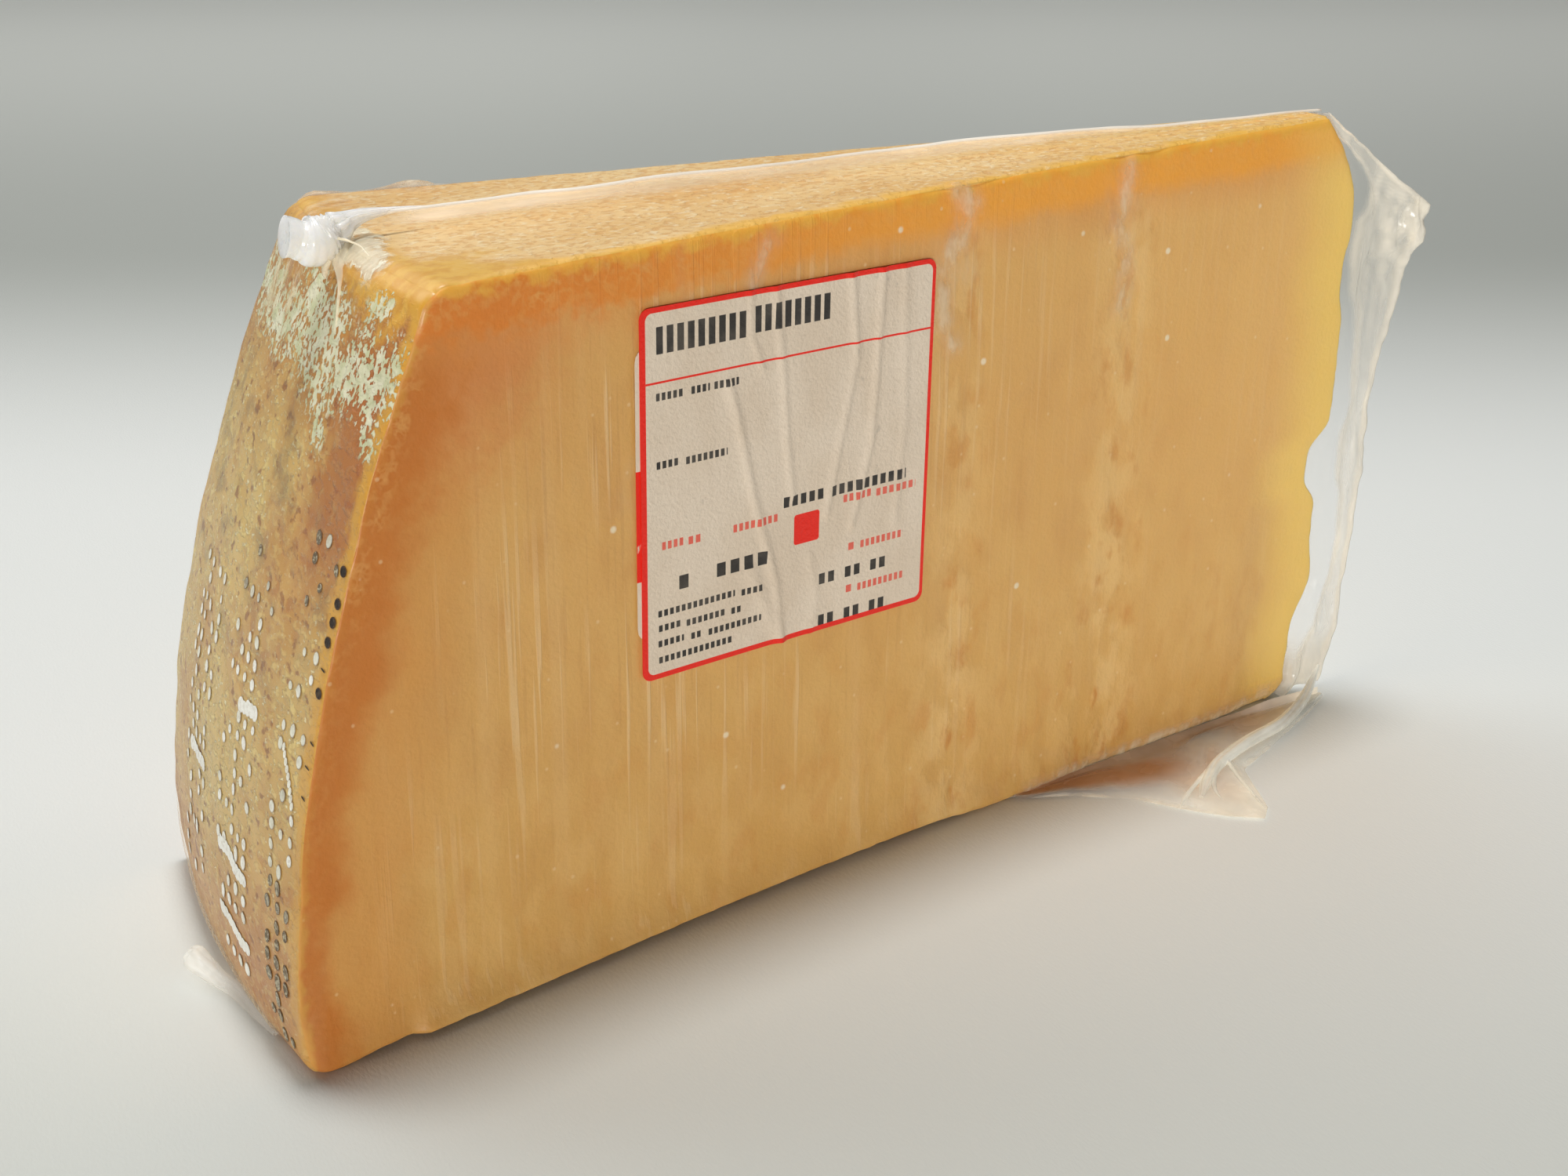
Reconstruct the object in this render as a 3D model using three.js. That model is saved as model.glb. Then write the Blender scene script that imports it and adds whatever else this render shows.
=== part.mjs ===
// A wedge cut from a large wheel of hard cheese, wrapped in clear film with a paper label on one cut face.
// Millimetres, +Z up. The wedge stands on the flat side of its wheel: the rind is at -X, the thin end, which
// lay at the middle of the wheel, is at +X, and the labelled cut face is on the -Y side.
// Shapes are worked out about the wheel's own upright axis, by the distance r from it and the height z.
import * as THREE from 'three';
import { ImprovedNoise } from 'three/addons/math/ImprovedNoise.js';

// The wheel that the wedge was cut from.
const WHEEL_RADIUS = 238;
const WIDEST_HEIGHT = 10;
const RIND_HEIGHT = 115.8;
const CENTRE_RISE = 4.6;
const BARREL_DRAW = 33.4;
const BARREL_POWER = 1.73;
const SHOULDER_TOP = 3;
const SHOULDER_FOOT = 4;

// The cut.
const HALF_ANGLE = THREE.MathUtils.degToRad(9.21);
const FACE_HOLLOW = 2.95;
const FACE_LEAN = 0.013;
const BREAK_RADIUS = 37.4;
const BREAK_HEIGHT = 64;
const BREAK_SLANT = 0.9;

// The broken thin end: how far from the wheel's axis it stops, and what is missing from its edge.
const TIP_RADIUS = 13.2;
const TIP_DENTS = [
  { height: 10.3, depth: 4.5, reach: 11.3 },
  { height: 38.1, depth: 1.2, reach: 8.2 },
  { height: 51, depth: 5.2, reach: 6.4 },
  { height: 88.6, depth: 1.4, reach: 6.2 },
];
const TIP_CROWN_FROM = 101;
const TIP_CROWN_CURVE = 0.027;
const TIP_FOOT_HEIGHT = 4.1;
const TIP_FOOT_DEPTH = 7.7;

// Crumbly upright rows in the cut face, where the grain of the cheese opened.
const CRUMB_ROWS = [
  { radius: 110.2, width: 6.2, depth: 0.55 },
  { radius: 72.1, width: 7.2, depth: 0.7 },
];

// The paper label, and the older one that shows beside it.
const LABEL = { radius: 147.1, height: 77.4, width: 58, tall: 60, corner: 3, tilt: -0.0117 };
const LABEL_UNDER = { radius: 153.8, height: 78.1, width: 46, tall: 47, corner: 2, tilt: -0.0117 };
const PAPER = 0.2;
const GAP = 0.35;

// The film where it stands clear of the cheese.
const SEAM = { from: 192.6, to: 24.7, tall: 3.4, thick: 0.9 };
const NECK = [
  { x: -194.7, y: 0, z: 118.6, radius: 1.5 },
  { x: -204, y: -0.5, z: 119.3, radius: 2.2 },
  { x: -209.6, y: -2.5, z: 119.7, radius: 3.1 },
  { x: -213.2, y: -3.5, z: 118.5, radius: 4 },
  { x: -216.4, y: -2.5, z: 117.1, radius: 3.7 },
];
const FIN_EDGE = [
  { z: 1, x: -7.8 },
  { z: 13.4, x: -4.2 },
  { z: 46.4, x: -1.5 },
  { z: 69, x: -0.2 },
  { z: 81.4, x: 3.5 },
  { z: 89.6, x: 5.2 },
  { z: 92.7, x: 7.9 },
  { z: 100.4, x: 8 },
  { z: 106.1, x: -1.3 },
  { z: 115.4, x: -13.8 },
  { z: 119.9, x: -19.6 },
];
const FIN = { thick: 0.9, clear: 0.6, bead: 0.35 };
const FIN_BUNCH = { height: 96.8, reach: 8.2, swell: 2.2 };
const FLAP_EDGE = [
  { x: -93.7, y: -13.3 },
  { x: -82.4, y: -17.8 },
  { x: -74.2, y: -23.2 },
  { x: -68, y: -31.4 },
  { x: -61.8, y: -38.1 },
  { x: -56.6, y: -42.7 },
  { x: -53, y: -38.6 },
  { x: -47.4, y: -24.9 },
  { x: -28.8, y: -15.9 },
  { x: -20.6, y: -11.9 },
  { x: -11.3, y: -6.4 },
];
const FLAP = { thick: 0.6, clear: 4.6, lift: 1.3, wave: 1.1 };
const TWIST = { x: -27, reach: 16, tall: 2.6 };
const HEEL = [
  { x: -241.9, y: -1, z: 4.2, radius: 2.6 },
  { x: -240.9, y: -5, z: 3.5, radius: 2.8 },
  { x: -239.6, y: -10.3, z: 2.3, radius: 1.8 },
  { x: -238.2, y: -17.5, z: 1.5, radius: 1.1 },
  { x: -236.1, y: -25.8, z: 1, radius: 0.7 },
];

// Where the wheel's axis stands, so that the origin is at the middle of the wedge's underside.
const AXIS = new THREE.Vector3(118.16, 1.98, 0);

const noise = new ImprovedNoise();

function smooth(value, low, high) {
  return THREE.MathUtils.smoothstep(value, low, high);
}

// The distance of the rind from the wheel's axis.
function rindRadius(z) {
  const barrel = WHEEL_RADIUS - BARREL_DRAW * Math.abs((z - WIDEST_HEIGHT) / RIND_HEIGHT) ** BARREL_POWER;
  return barrel + 0.5 * noise.noise(z / 19, 3.1, 0);
}

// The height of the flat side, which rises a little towards the middle of the wheel.
function topHeight(r) {
  return RIND_HEIGHT + CENTRE_RISE * (1 - r / WHEEL_RADIUS);
}

function tipRadius(z) {
  const dents = TIP_DENTS.map(({ height, depth, reach }) => depth * Math.exp(-(((z - height) / reach) ** 4)));
  const crown = TIP_CROWN_CURVE * Math.max(0, z - TIP_CROWN_FROM) ** 2;
  const foot = TIP_FOOT_DEPTH * Math.max(0, 1 - z / TIP_FOOT_HEIGHT) ** 2;
  return TIP_RADIUS + crown + foot + dents.reduce((sum, dent) => sum + dent, 0);
}

// How far the labelled face lies behind the true radial plane: it is hollow, and its top leans forward.
function faceSetback(r, z) {
  const along = r / WHEEL_RADIUS;
  const hollow = FACE_HOLLOW * 4 * along * (1 - along);
  const broken = BREAK_SLANT * smooth(BREAK_RADIUS - r, 0, 12) * smooth(BREAK_HEIGHT - z, 0, 25);
  return hollow - FACE_LEAN * z + broken;
}

// The crumbled surface's depth below the smooth cut face.
function crumble(r, z) {
  const rows = CRUMB_ROWS.map(({ radius, width, depth }) => {
    const pits = 0.5 + 0.5 * noise.noise(r / 5, z / 7, 7.7);
    return depth * pits * Math.exp(-(((r - radius) / width) ** 2));
  });
  return rows.reduce((sum, row) => sum + row, 0);
}

// A point a little off the labelled face, in front of it for a positive lift.
function onLabelledFace(r, z, lift) {
  const outX = Math.sin(HALF_ANGLE);
  const outY = -Math.cos(HALF_ANGLE);
  return new THREE.Vector3(
    -r * Math.cos(HALF_ANGLE) + lift * outX,
    -r * Math.sin(HALF_ANGLE) + faceSetback(r, z) + lift * outY,
    z,
  );
}

function finish(color, roughness) {
  return new THREE.MeshStandardMaterial({ color, roughness, metalness: 0 });
}

// A mesh made by moving each corner of a primitive to its place in the real shape.
function shaped(name, primitive, material, place) {
  const corners = primitive.attributes.position;
  const corner = new THREE.Vector3();
  for (let i = 0; i < corners.count; i += 1) {
    const spot = place(corner.fromBufferAttribute(corners, i));
    corners.setXYZ(i, spot.x, spot.y, spot.z);
  }
  primitive.computeVertexNormals();
  const mesh = new THREE.Mesh(primitive, material);
  mesh.name = name;
  return mesh;
}

// The value of one field where another field has a given value, on straight lines between a list's steps.
function follow(steps, field, at, wanted) {
  const rising = steps[steps.length - 1][field] > steps[0][field];
  const ordered = rising ? steps : [...steps].reverse();
  const next = ordered.findIndex((step) => step[field] > at);
  if (next === 0) return ordered[0][wanted];
  if (next === -1) return ordered[ordered.length - 1][wanted];
  const [before, after] = [ordered[next - 1], ordered[next]];
  const share = (at - before[field]) / (after[field] - before[field]);
  return THREE.MathUtils.lerp(before[wanted], after[wanted], share);
}

// The wedge: a block whose length runs from the rind to the tip, whose width runs from the labelled face to
// the plain one, and whose height runs from the underside to the top. Its rind has round shoulders.
function makeCheese() {
  const block = new THREE.BoxGeometry(1, 1, 1, 48, 6, 24);
  return shaped('cheese', block, finish(0xd9a860, 0.55), (corner) => {
    const level = corner.z + 0.5;
    const guess = level * RIND_HEIGHT;
    const tip = tipRadius(level * topHeight(TIP_RADIUS));
    let r = THREE.MathUtils.lerp(rindRadius(guess), tip, corner.x + 0.5);
    let z = level * topHeight(r);
    const above = z > RIND_HEIGHT / 2;
    const round = above ? SHOULDER_TOP : SHOULDER_FOOT;
    const edgeZ = above ? topHeight(r) - round : round;
    const edgeR = rindRadius(guess) - round;
    const over = { r: r - edgeR, z: above ? z - edgeZ : edgeZ - z };
    if (over.r > 0 && over.z > 0) {
      const shrink = Math.max(over.r, over.z) / Math.hypot(over.r, over.z);
      r = edgeR + over.r * shrink;
      z = edgeZ + (above ? 1 : -1) * over.z * shrink;
    }
    const near = onLabelledFace(r, z, -crumble(r, z));
    const far = new THREE.Vector3(-r * Math.cos(HALF_ANGLE), r * Math.sin(HALF_ANGLE), z);
    const across = corner.y + 0.5;
    const spot = near.clone().lerp(far, across);
    const bow = r * (1 - Math.cos(HALF_ANGLE)) * 4 * across * (1 - across);
    spot.x -= bow * smooth(r, 60, WHEEL_RADIUS);
    return spot;
  });
}

// A sheet of paper with round corners, lying on the labelled face.
function makeLabel(name, size, lift, color) {
  const sheet = new THREE.BoxGeometry(1, 1, 1, 10, 10, 1);
  return shaped(name, sheet, finish(color, 0.6), (corner) => {
    const half = { x: size.width / 2, y: size.tall / 2 };
    const flat = { x: corner.x * size.width, y: corner.y * size.tall };
    const over = {
      x: Math.abs(flat.x) - (half.x - size.corner),
      y: Math.abs(flat.y) - (half.y - size.corner),
    };
    if (over.x > 0 && over.y > 0) {
      const shrink = Math.max(over.x, over.y) / Math.hypot(over.x, over.y);
      flat.x = Math.sign(flat.x) * (half.x - size.corner + over.x * shrink);
      flat.y = Math.sign(flat.y) * (half.y - size.corner + over.y * shrink);
    }
    const turnedX = flat.x * Math.cos(size.tilt) - flat.y * Math.sin(size.tilt);
    const turnedY = flat.x * Math.sin(size.tilt) + flat.y * Math.cos(size.tilt);
    return onLabelledFace(size.radius - turnedX, size.height + turnedY, lift + (corner.z + 0.5) * PAPER);
  });
}

// The welded seam of the film, which stands up along the middle of the top.
function makeSeam() {
  const strip = new THREE.BoxGeometry(1, 1, 1, 36, 1, 2);
  return shaped('film_seam', strip, finish(0xeeeae2, 0.3), (corner) => {
    const r = THREE.MathUtils.lerp(SEAM.from, SEAM.to, corner.x + 0.5);
    const tall = SEAM.tall * (0.3 + 0.7 * smooth(r, SEAM.to, 100)) + 0.4 * noise.noise(r / 14, 0.5, 0);
    const sway = 0.7 * noise.noise(r / 22, 5.2, 0);
    return new THREE.Vector3(
      -r,
      corner.y * SEAM.thick + sway * (corner.z + 0.5),
      topHeight(r) + GAP + (corner.z + 0.5) * tall,
    );
  });
}

// A round rope of gathered film along a few stations, with pleats.
function makeRope(name, stations, pleats) {
  const rope = new THREE.CylinderGeometry(1, 1, 1, 12, 12);
  const line = new THREE.CatmullRomCurve3(stations.map(({ x, y, z }) => new THREE.Vector3(x, y, z)));
  return shaped(name, rope, finish(0xf2f0ec, 0.35), (corner) => {
    const along = corner.y + 0.5;
    const at = line.getPoint(along);
    const ahead = line.getTangent(along);
    const side = ahead.clone().cross(new THREE.Vector3(0, 0, 1)).normalize();
    const over = side.clone().cross(ahead);
    const place = along * (stations.length - 1);
    const before = Math.min(Math.floor(place), stations.length - 2);
    const girth = THREE.MathUtils.lerp(stations[before].radius, stations[before + 1].radius, place - before);
    const angle = Math.atan2(corner.x, corner.z);
    const reach = Math.hypot(corner.x, corner.z) * girth * (1 + pleats * Math.cos(6 * angle + 5 * along));
    return at
      .addScaledVector(side, reach * Math.sin(angle))
      .addScaledVector(over, reach * Math.cos(angle));
  });
}

// The flat pocket of film past the broken tip, closed by an uneven edge that bunches up near its top.
function makeFin() {
  const pocket = new THREE.BoxGeometry(1, 1, 1, 6, 2, 30);
  return shaped('film_tip', pocket, finish(0xe8e6e0, 0.2), (corner) => {
    const z = THREE.MathUtils.lerp(FIN_EDGE[0].z, FIN_EDGE[FIN_EDGE.length - 1].z, corner.z + 0.5);
    const out = corner.x + 0.5;
    const inner = FIN.clear - tipRadius(z) * Math.cos(HALF_ANGLE);
    const bunch = FIN_BUNCH.swell * Math.exp(-(((z - FIN_BUNCH.height) / FIN_BUNCH.reach) ** 2));
    const bead = FIN.bead * smooth(out, 0.7, 0.95) + bunch * smooth(out, 0.3, 0.9);
    const root = tipRadius(z) * Math.sin(HALF_ANGLE);
    const halfThick = THREE.MathUtils.lerp(root, FIN.thick / 2, smooth(out, 0, 0.45)) + bead;
    const sway = out * (0.8 * noise.noise(z / 13, 2.2, 0) + 1.2 * noise.noise(z / 31, 8.4, 0));
    const x = THREE.MathUtils.lerp(inner, follow(FIN_EDGE, 'z', z, 'x'), out);
    return new THREE.Vector3(x, corner.y * 2 * halfThick + sway, z);
  });
}

// The loose corner of film that lies on the table in front of the tip, joined to the pocket by a twisted end.
function makeFlap() {
  const sheet = new THREE.BoxGeometry(1, 1, 1, 34, 5, 1);
  const start = FLAP_EDGE[0].x;
  const end = FLAP_EDGE[FLAP_EDGE.length - 1].x;
  return shaped('film_foot', sheet, finish(0xe8e6e0, 0.25), (corner) => {
    const x = THREE.MathUtils.lerp(start, end, corner.x + 0.5);
    const outer = follow(FLAP_EDGE, 'x', x, 'y');
    const inner = Math.min(onLabelledFace(-x / Math.cos(HALF_ANGLE), 0, 0.5).y, -FLAP.clear);
    const out = 0.5 - corner.y;
    const y = THREE.MathUtils.lerp(inner, Math.min(outer, inner - 0.4), out);
    const twist = TWIST.tall * Math.exp(-(((x - TWIST.x) / TWIST.reach) ** 2)) * Math.sin(Math.PI * out);
    const lift = out * (FLAP.lift + FLAP.wave * noise.noise(x / 9, y / 9, 4.4)) + twist;
    return new THREE.Vector3(x, y, 0.1 + lift + (corner.z + 0.5) * FLAP.thick);
  });
}

const wedge = new THREE.Group();
wedge.add(
  makeCheese(),
  makeLabel('label_under', LABEL_UNDER, GAP, 0xd8cbb8),
  makeLabel('label', LABEL, 2 * GAP + PAPER, 0xcfc0ae),
  makeSeam(),
  makeRope('film_neck', NECK, 0.05),
  makeFin(),
  makeFlap(),
  makeRope('film_heel', HEEL, 0.04),
);
wedge.position.copy(AXIS);

export default wedge;
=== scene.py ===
import math
import random

import bmesh
import bpy
import numpy as np
from mathutils import Matrix, Vector, noise


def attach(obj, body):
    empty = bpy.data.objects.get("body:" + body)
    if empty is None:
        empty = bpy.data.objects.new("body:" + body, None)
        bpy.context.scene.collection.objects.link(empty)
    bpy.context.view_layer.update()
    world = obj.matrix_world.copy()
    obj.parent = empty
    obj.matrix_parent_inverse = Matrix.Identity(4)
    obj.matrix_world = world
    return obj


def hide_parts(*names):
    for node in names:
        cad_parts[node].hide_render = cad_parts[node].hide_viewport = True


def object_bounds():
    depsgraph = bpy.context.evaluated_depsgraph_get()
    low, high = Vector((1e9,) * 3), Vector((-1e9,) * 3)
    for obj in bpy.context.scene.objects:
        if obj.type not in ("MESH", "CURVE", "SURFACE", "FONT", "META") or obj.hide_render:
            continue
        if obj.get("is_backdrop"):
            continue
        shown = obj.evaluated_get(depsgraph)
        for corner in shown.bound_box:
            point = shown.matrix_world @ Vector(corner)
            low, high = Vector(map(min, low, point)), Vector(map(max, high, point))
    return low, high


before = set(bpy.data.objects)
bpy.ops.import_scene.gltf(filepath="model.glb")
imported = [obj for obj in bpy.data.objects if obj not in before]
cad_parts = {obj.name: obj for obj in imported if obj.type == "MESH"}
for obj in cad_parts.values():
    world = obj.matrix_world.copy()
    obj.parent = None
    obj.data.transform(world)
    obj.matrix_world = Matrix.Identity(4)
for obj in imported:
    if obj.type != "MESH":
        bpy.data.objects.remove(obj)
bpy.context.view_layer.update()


# ------------------------------------------------------------------------------------------------------------
# The wedge of hard cheese: one solid piece, wire-cut from a large wheel. It stands on a cut face, with the
# wheel's barrel rind at -X, its flat side on top, and the broken thin end, once the wheel's middle, at +X.
# Lengths are in millimetres.
# ------------------------------------------------------------------------------------------------------------
WHEEL_RADIUS = 238.0
WIDEST_HEIGHT = 10.0
RIND_HEIGHT = 115.8
CENTRE_RISE = 4.6
BARREL_DRAW = 33.4
BARREL_POWER = 1.73
SHOULDER_TOP = 3.0
SHOULDER_FOOT = 4.0
HALF_ANGLE = math.radians(9.21)
FACE_HOLLOW = 2.95
FACE_LEAN = 0.013
BREAK_RADIUS = 37.4
BREAK_HEIGHT = 64.0
BREAK_SLANT = 0.9
TIP_RADIUS = 13.2
TIP_DENTS = ((10.3, 4.5, 11.3), (38.1, 1.2, 8.2), (51.0, 5.2, 6.4), (88.6, 1.4, 6.2))  # height, depth, reach
AXIS = (118.16, 1.98)  # where the wheel's upright axis stands
CRUMB_ROWS = ((110.2, 6.2, 0.55), (72.1, 7.2, 0.7))  # distance from the axis, width, depth
EDGE_ROUND = 0.55
TOP_ROUND = 1.5  # the edge between the flat side and the labelled face is worn rounder
FOOT_ROUND = 1.7  # and so is the labelled face's foot, which also waves a little and has a nick by the rind
FOOT_WAVE = (  # distance from the axis, how far the edge stands out there
    (34, 0.0), (60, 0.3), (72, 0.0), (84, 0.8), (104, 1.2), (112, 0.9), (120, 0.8), (140, 0.9), (165, 1.2),
    (188, 1.9), (200, 2.2), (217.6, 2.6), (220.4, 0.9), (230, 0.9), (236, 0.5),
)
FOOT_GAP = 0.9  # that edge stands this far off the table between the rind and the loose corner of film
WEDGE_LOWEST = 0.25  # nothing of the cheese lies lower, so that the film fits under it
OUTER = 0.4999  # corners of the unit block that are past this lie on its sides
EDGE_RULES = (0.0, 0.22, 0.5, 0.95, 1.7)  # rules that lie close to an edge, measured from it
WEDGE_CUTS = ((15, 16), (5, 8), (11, 11))
LENGTH, WIDTH, TALL = 225.0, 76.0, 118.0


def smooth(value, low, high):
    """0 below low, 1 above high, and an even S between them."""
    share = np.clip((value - low) / (high - low), 0, 1)
    return share * share * (3 - 2 * share)


def wander(x, y, z):
    """Soft noise from about -1 to 1 at each of many points."""
    return np.array([noise.noise(Vector(spot)) for spot in zip(*np.broadcast_arrays(x, y, z))])


def rind_radius(high):
    barrel = WHEEL_RADIUS - BARREL_DRAW * np.abs((high - WIDEST_HEIGHT) / RIND_HEIGHT) ** BARREL_POWER
    return barrel + 0.4 * wander(high / 19, 3.1, 0.4)


def top_height(r):
    return RIND_HEIGHT + CENTRE_RISE * (1 - r / WHEEL_RADIUS)


def tip_radius(high):
    crown = 0.027 * np.maximum(0, high - 101) ** 2
    foot = 7.7 * np.maximum(0, 1 - high / 4.1) ** 2
    dents = sum(deep * np.exp(-(((high - at) / reach) ** 4)) for at, deep, reach in TIP_DENTS)
    return TIP_RADIUS + crown + foot + dents


def face_setback(r, high):
    """How far the labelled face lies behind the true radial plane."""
    along = r / WHEEL_RADIUS
    broken = BREAK_SLANT * smooth(BREAK_RADIUS - r, 0, 12) * smooth(BREAK_HEIGHT - high, 0, 25)
    return FACE_HOLLOW * 4 * along * (1 - along) - FACE_LEAN * high + broken


def labelled_face(r, high, lift=0.0):
    """Points in front of the labelled face by the lift."""
    return np.stack([
        -r * math.cos(HALF_ANGLE) + lift * math.sin(HALF_ANGLE) + AXIS[0],
        -r * math.sin(HALF_ANGLE) + face_setback(r, high) - lift * math.cos(HALF_ANGLE) + AXIS[1],
        high + 0 * r,
    ], axis=-1)


def plain_face(r, high):
    along, aside = r * math.cos(HALF_ANGLE), r * math.sin(HALF_ANGLE)
    return np.stack([AXIS[0] - along, AXIS[1] + aside, high + 0 * r], axis=-1)


def in_wedge(r, across, high):
    """Points at a distance from the axis, a share of the way from the labelled face to the plain one, and a
    height."""
    spots = labelled_face(r, high) * (1 - across)[:, None] + plain_face(r, high) * across[:, None]
    bow = r * (1 - math.cos(HALF_ANGLE)) * 4 * across * (1 - across)
    spots[:, 0] -= bow * smooth(r, 60, WHEEL_RADIUS)
    return spots


def wave_foot(spots, r, across, high):
    """Moves points near the labelled face's foot with its wave, and lifts its edge off the table."""
    near = smooth(0.4 - across, 0, 0.3)
    spots[:, 1] -= np.interp(r, *np.array(FOOT_WAVE).T) * np.exp(-((high / 4.5) ** 2)) * near
    spots[:, 2] += FOOT_GAP * smooth(3 - high, 0, 3) * near * smooth(r, 95, 115) * smooth(234 - r, 0, 12)
    return spots


def rind_relief(across, high):
    return 0.22 * wander(across * 14, high / 5, 4.4)


def crowd(unit, steps, length):
    """Even rules from 0 to 1 moved so that a few lie close to each end."""
    close = np.array(EDGE_RULES)
    middle = np.linspace(close[-1], length - close[-1], steps + 3 - 2 * len(close))
    rules = np.concatenate([close[:-1], middle, length - close[-2::-1]])
    return np.interp(unit, np.linspace(0, 1, steps + 1), rules / length)


def wedge_places(x, y, z, steps):
    """Where each corner of the unit block falls in the wedge: its distance from the axis, the share of the
    way across and its height, with the rind's shoulders and all the cut edges rounded."""
    across = crowd(y + 0.5, steps[1], WIDTH)
    level = crowd(z + 0.5, steps[2], TALL)
    rind = rind_radius(level * RIND_HEIGHT)
    r = rind + (tip_radius(level * top_height(TIP_RADIUS)) - rind) * crowd(x + 0.5, steps[0], LENGTH)
    high = level * top_height(r)
    way = np.where(high > RIND_HEIGHT / 2, 1, -1)
    shoulder = np.where(way > 0, SHOULDER_TOP, SHOULDER_FOOT)
    core_high = np.where(way > 0, top_height(r) - shoulder, shoulder)
    over_r, over_high = r - rind + shoulder, way * (high - core_high)
    corner = (over_r > 0) & (over_high > 0)
    longer = np.maximum(over_r, over_high)
    shrink = np.where(corner, longer / np.maximum(np.hypot(over_r, over_high), 1e-9), 1)
    r = np.where(corner, rind - shoulder + over_r * shrink, r)
    high = np.where(corner, core_high + way * over_high * shrink, high)
    sides = np.stack([rind_radius(high) - r, r - tip_radius(high), top_height(r) - high, high])
    inward = np.array([(-1.0, 0), (1, 0), (0, -1), (0, 1)])[sides.argmin(0)]
    inside = sides.min(0)
    reach = np.maximum(np.hypot(over_r, over_high), 1e-9)
    inward = np.where(corner[:, None], -np.stack([over_r, way * over_high], axis=-1) / reach[:, None], inward)
    inside = np.where(corner, shoulder - reach * shrink, inside)
    width = 2 * r * math.sin(HALF_ANGLE) - face_setback(r, high)
    bend = EDGE_ROUND * (1 + 0.7 * wander(r / 2.5, high / 2.5, 9 * across))
    bend += (TOP_ROUND - EDGE_ROUND) * smooth(high, 100, 112) * smooth(0.7 - across, 0, 0.3)
    bend += (FOOT_ROUND - EDGE_ROUND) * smooth(12 - high, 0, 8) * smooth(0.7 - across, 0, 0.3)
    near = across < 0.5
    from_outline = np.maximum(bend - inside, 0)
    from_face = np.maximum(bend - np.where(near, across, 1 - across) * width, 0)
    slack = 1 - np.minimum(1, bend / np.maximum(np.hypot(from_outline, from_face), 1e-9))
    r = r + inward[:, 0] * from_outline * slack
    high = high + inward[:, 1] * from_outline * slack
    across = across + np.where(near, 1, -1) * from_face * slack / width
    return r, across, high


def ruled_block(name, cuts):
    """A unit cube at the origin, ruled in edit mode into even steps along x, y and z. Each axis's steps are
    given as the numbers that its passes multiply by."""
    bpy.ops.object.select_all(action="DESELECT")
    bpy.ops.mesh.primitive_cube_add(size=1, location=(0, 0, 0))
    block = bpy.context.object
    block.name = block.data.name = name
    bpy.ops.object.mode_set(mode="EDIT")
    bpy.ops.mesh.select_mode(type="EDGE")
    for axis, passes in enumerate(cuts):
        for steps in passes:
            bpy.ops.mesh.select_all(action="DESELECT")
            rules = bmesh.from_edit_mesh(block.data)
            for edge in rules.edges:
                edge.select_set(abs(edge.verts[0].co[axis] - edge.verts[1].co[axis]) > 1e-6)
            bmesh.update_edit_mesh(block.data)
            bpy.ops.mesh.subdivide(number_cuts=steps - 1)
    bpy.ops.object.mode_set(mode="OBJECT")
    return block


def corners_of(piece):
    spots = np.empty(len(piece.data.vertices) * 3)
    piece.data.vertices.foreach_get("co", spots)
    return spots.reshape(-1, 3)


def move_to(piece, spots):
    """Sets every corner, from millimetres."""
    piece.data.vertices.foreach_set("co", (spots * 0.001).ravel())
    piece.data.update()


def push(piece, depths):
    """Moves every corner out along its normal by a depth in millimetres."""
    normals = np.empty(len(piece.data.vertices) * 3)
    piece.data.vertices.foreach_get("normal", normals)
    move_to(piece, corners_of(piece) * 1000 + normals.reshape(-1, 3) * depths[:, None])


def mark(piece, name, values):
    layer = piece.data.attributes.new(name, "FLOAT", "POINT")
    layer.data.foreach_set("value", np.asarray(values, np.float32))


def ridge(x, y, path, width):
    """1 on a line through the path's corners, fading to 0 about a width away."""
    nearest = np.full(np.shape(x), np.inf)
    for (x0, y0), (x1, y1) in zip(path, path[1:]):
        share = ((x - x0) * (x1 - x0) + (y - y0) * (y1 - y0)) / ((x1 - x0) ** 2 + (y1 - y0) ** 2)
        share = np.clip(share, 0, 1)
        nearest = np.minimum(nearest, np.hypot(x - x0 - share * (x1 - x0), y - y0 - share * (y1 - y0)))
    return np.exp(-((nearest / width) ** 2))


wedge = ruled_block("wedge", WEDGE_CUTS)
unit = corners_of(wedge)
steps = [math.prod(passes) for passes in WEDGE_CUTS]
r, across, high = wedge_places(*unit.T, steps)
side = {
    "rind": unit[:, 0] < -OUTER, "tip": unit[:, 0] > OUTER, "near": unit[:, 1] < -OUTER,
    "far": unit[:, 1] > OUTER, "top": unit[:, 2] > OUTER,
}
spots = wave_foot(in_wedge(r, across, high), r, across, high)
spots[:, 2] = np.maximum(spots[:, 2], WEDGE_LOWEST)
move_to(wedge, spots)
from_near = across * (2 * r * math.sin(HALF_ANGLE) - face_setback(r, high))
pits = 0.5 + 0.5 * wander(r / 5, high / 7, 7.7)
rows = sum(deep * np.exp(-(((r - at) / wide) ** 2)) for at, wide, deep in CRUMB_ROWS)
relief = np.where(side["near"], -rows * pits + 0.1 * wander(r / 4, high / 9, 2.2), 0)
relief += np.where(side["far"], 0.15 * wander(r / 4, high / 9, 6.2), 0)
relief += np.where(side["tip"], 0.55 * wander(r / 6, high / 4, 12 * across) - 0.35, 0)
relief += np.where(side["rind"], rind_relief(across, high), 0)
relief += np.where(side["top"], 0.16 * wander(r / 9, across * 16, 5.1), 0)
push(wedge, relief)
mark(wedge, "from_rind", rind_radius(high) - r)
mark(wedge, "from_top", top_height(r) - high)
mark(wedge, "from_tip", r - tip_radius(high))
mark(wedge, "from_near", from_near)
mark(wedge, "crumbs", np.clip(rows / 0.6, 0, 1))
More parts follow.
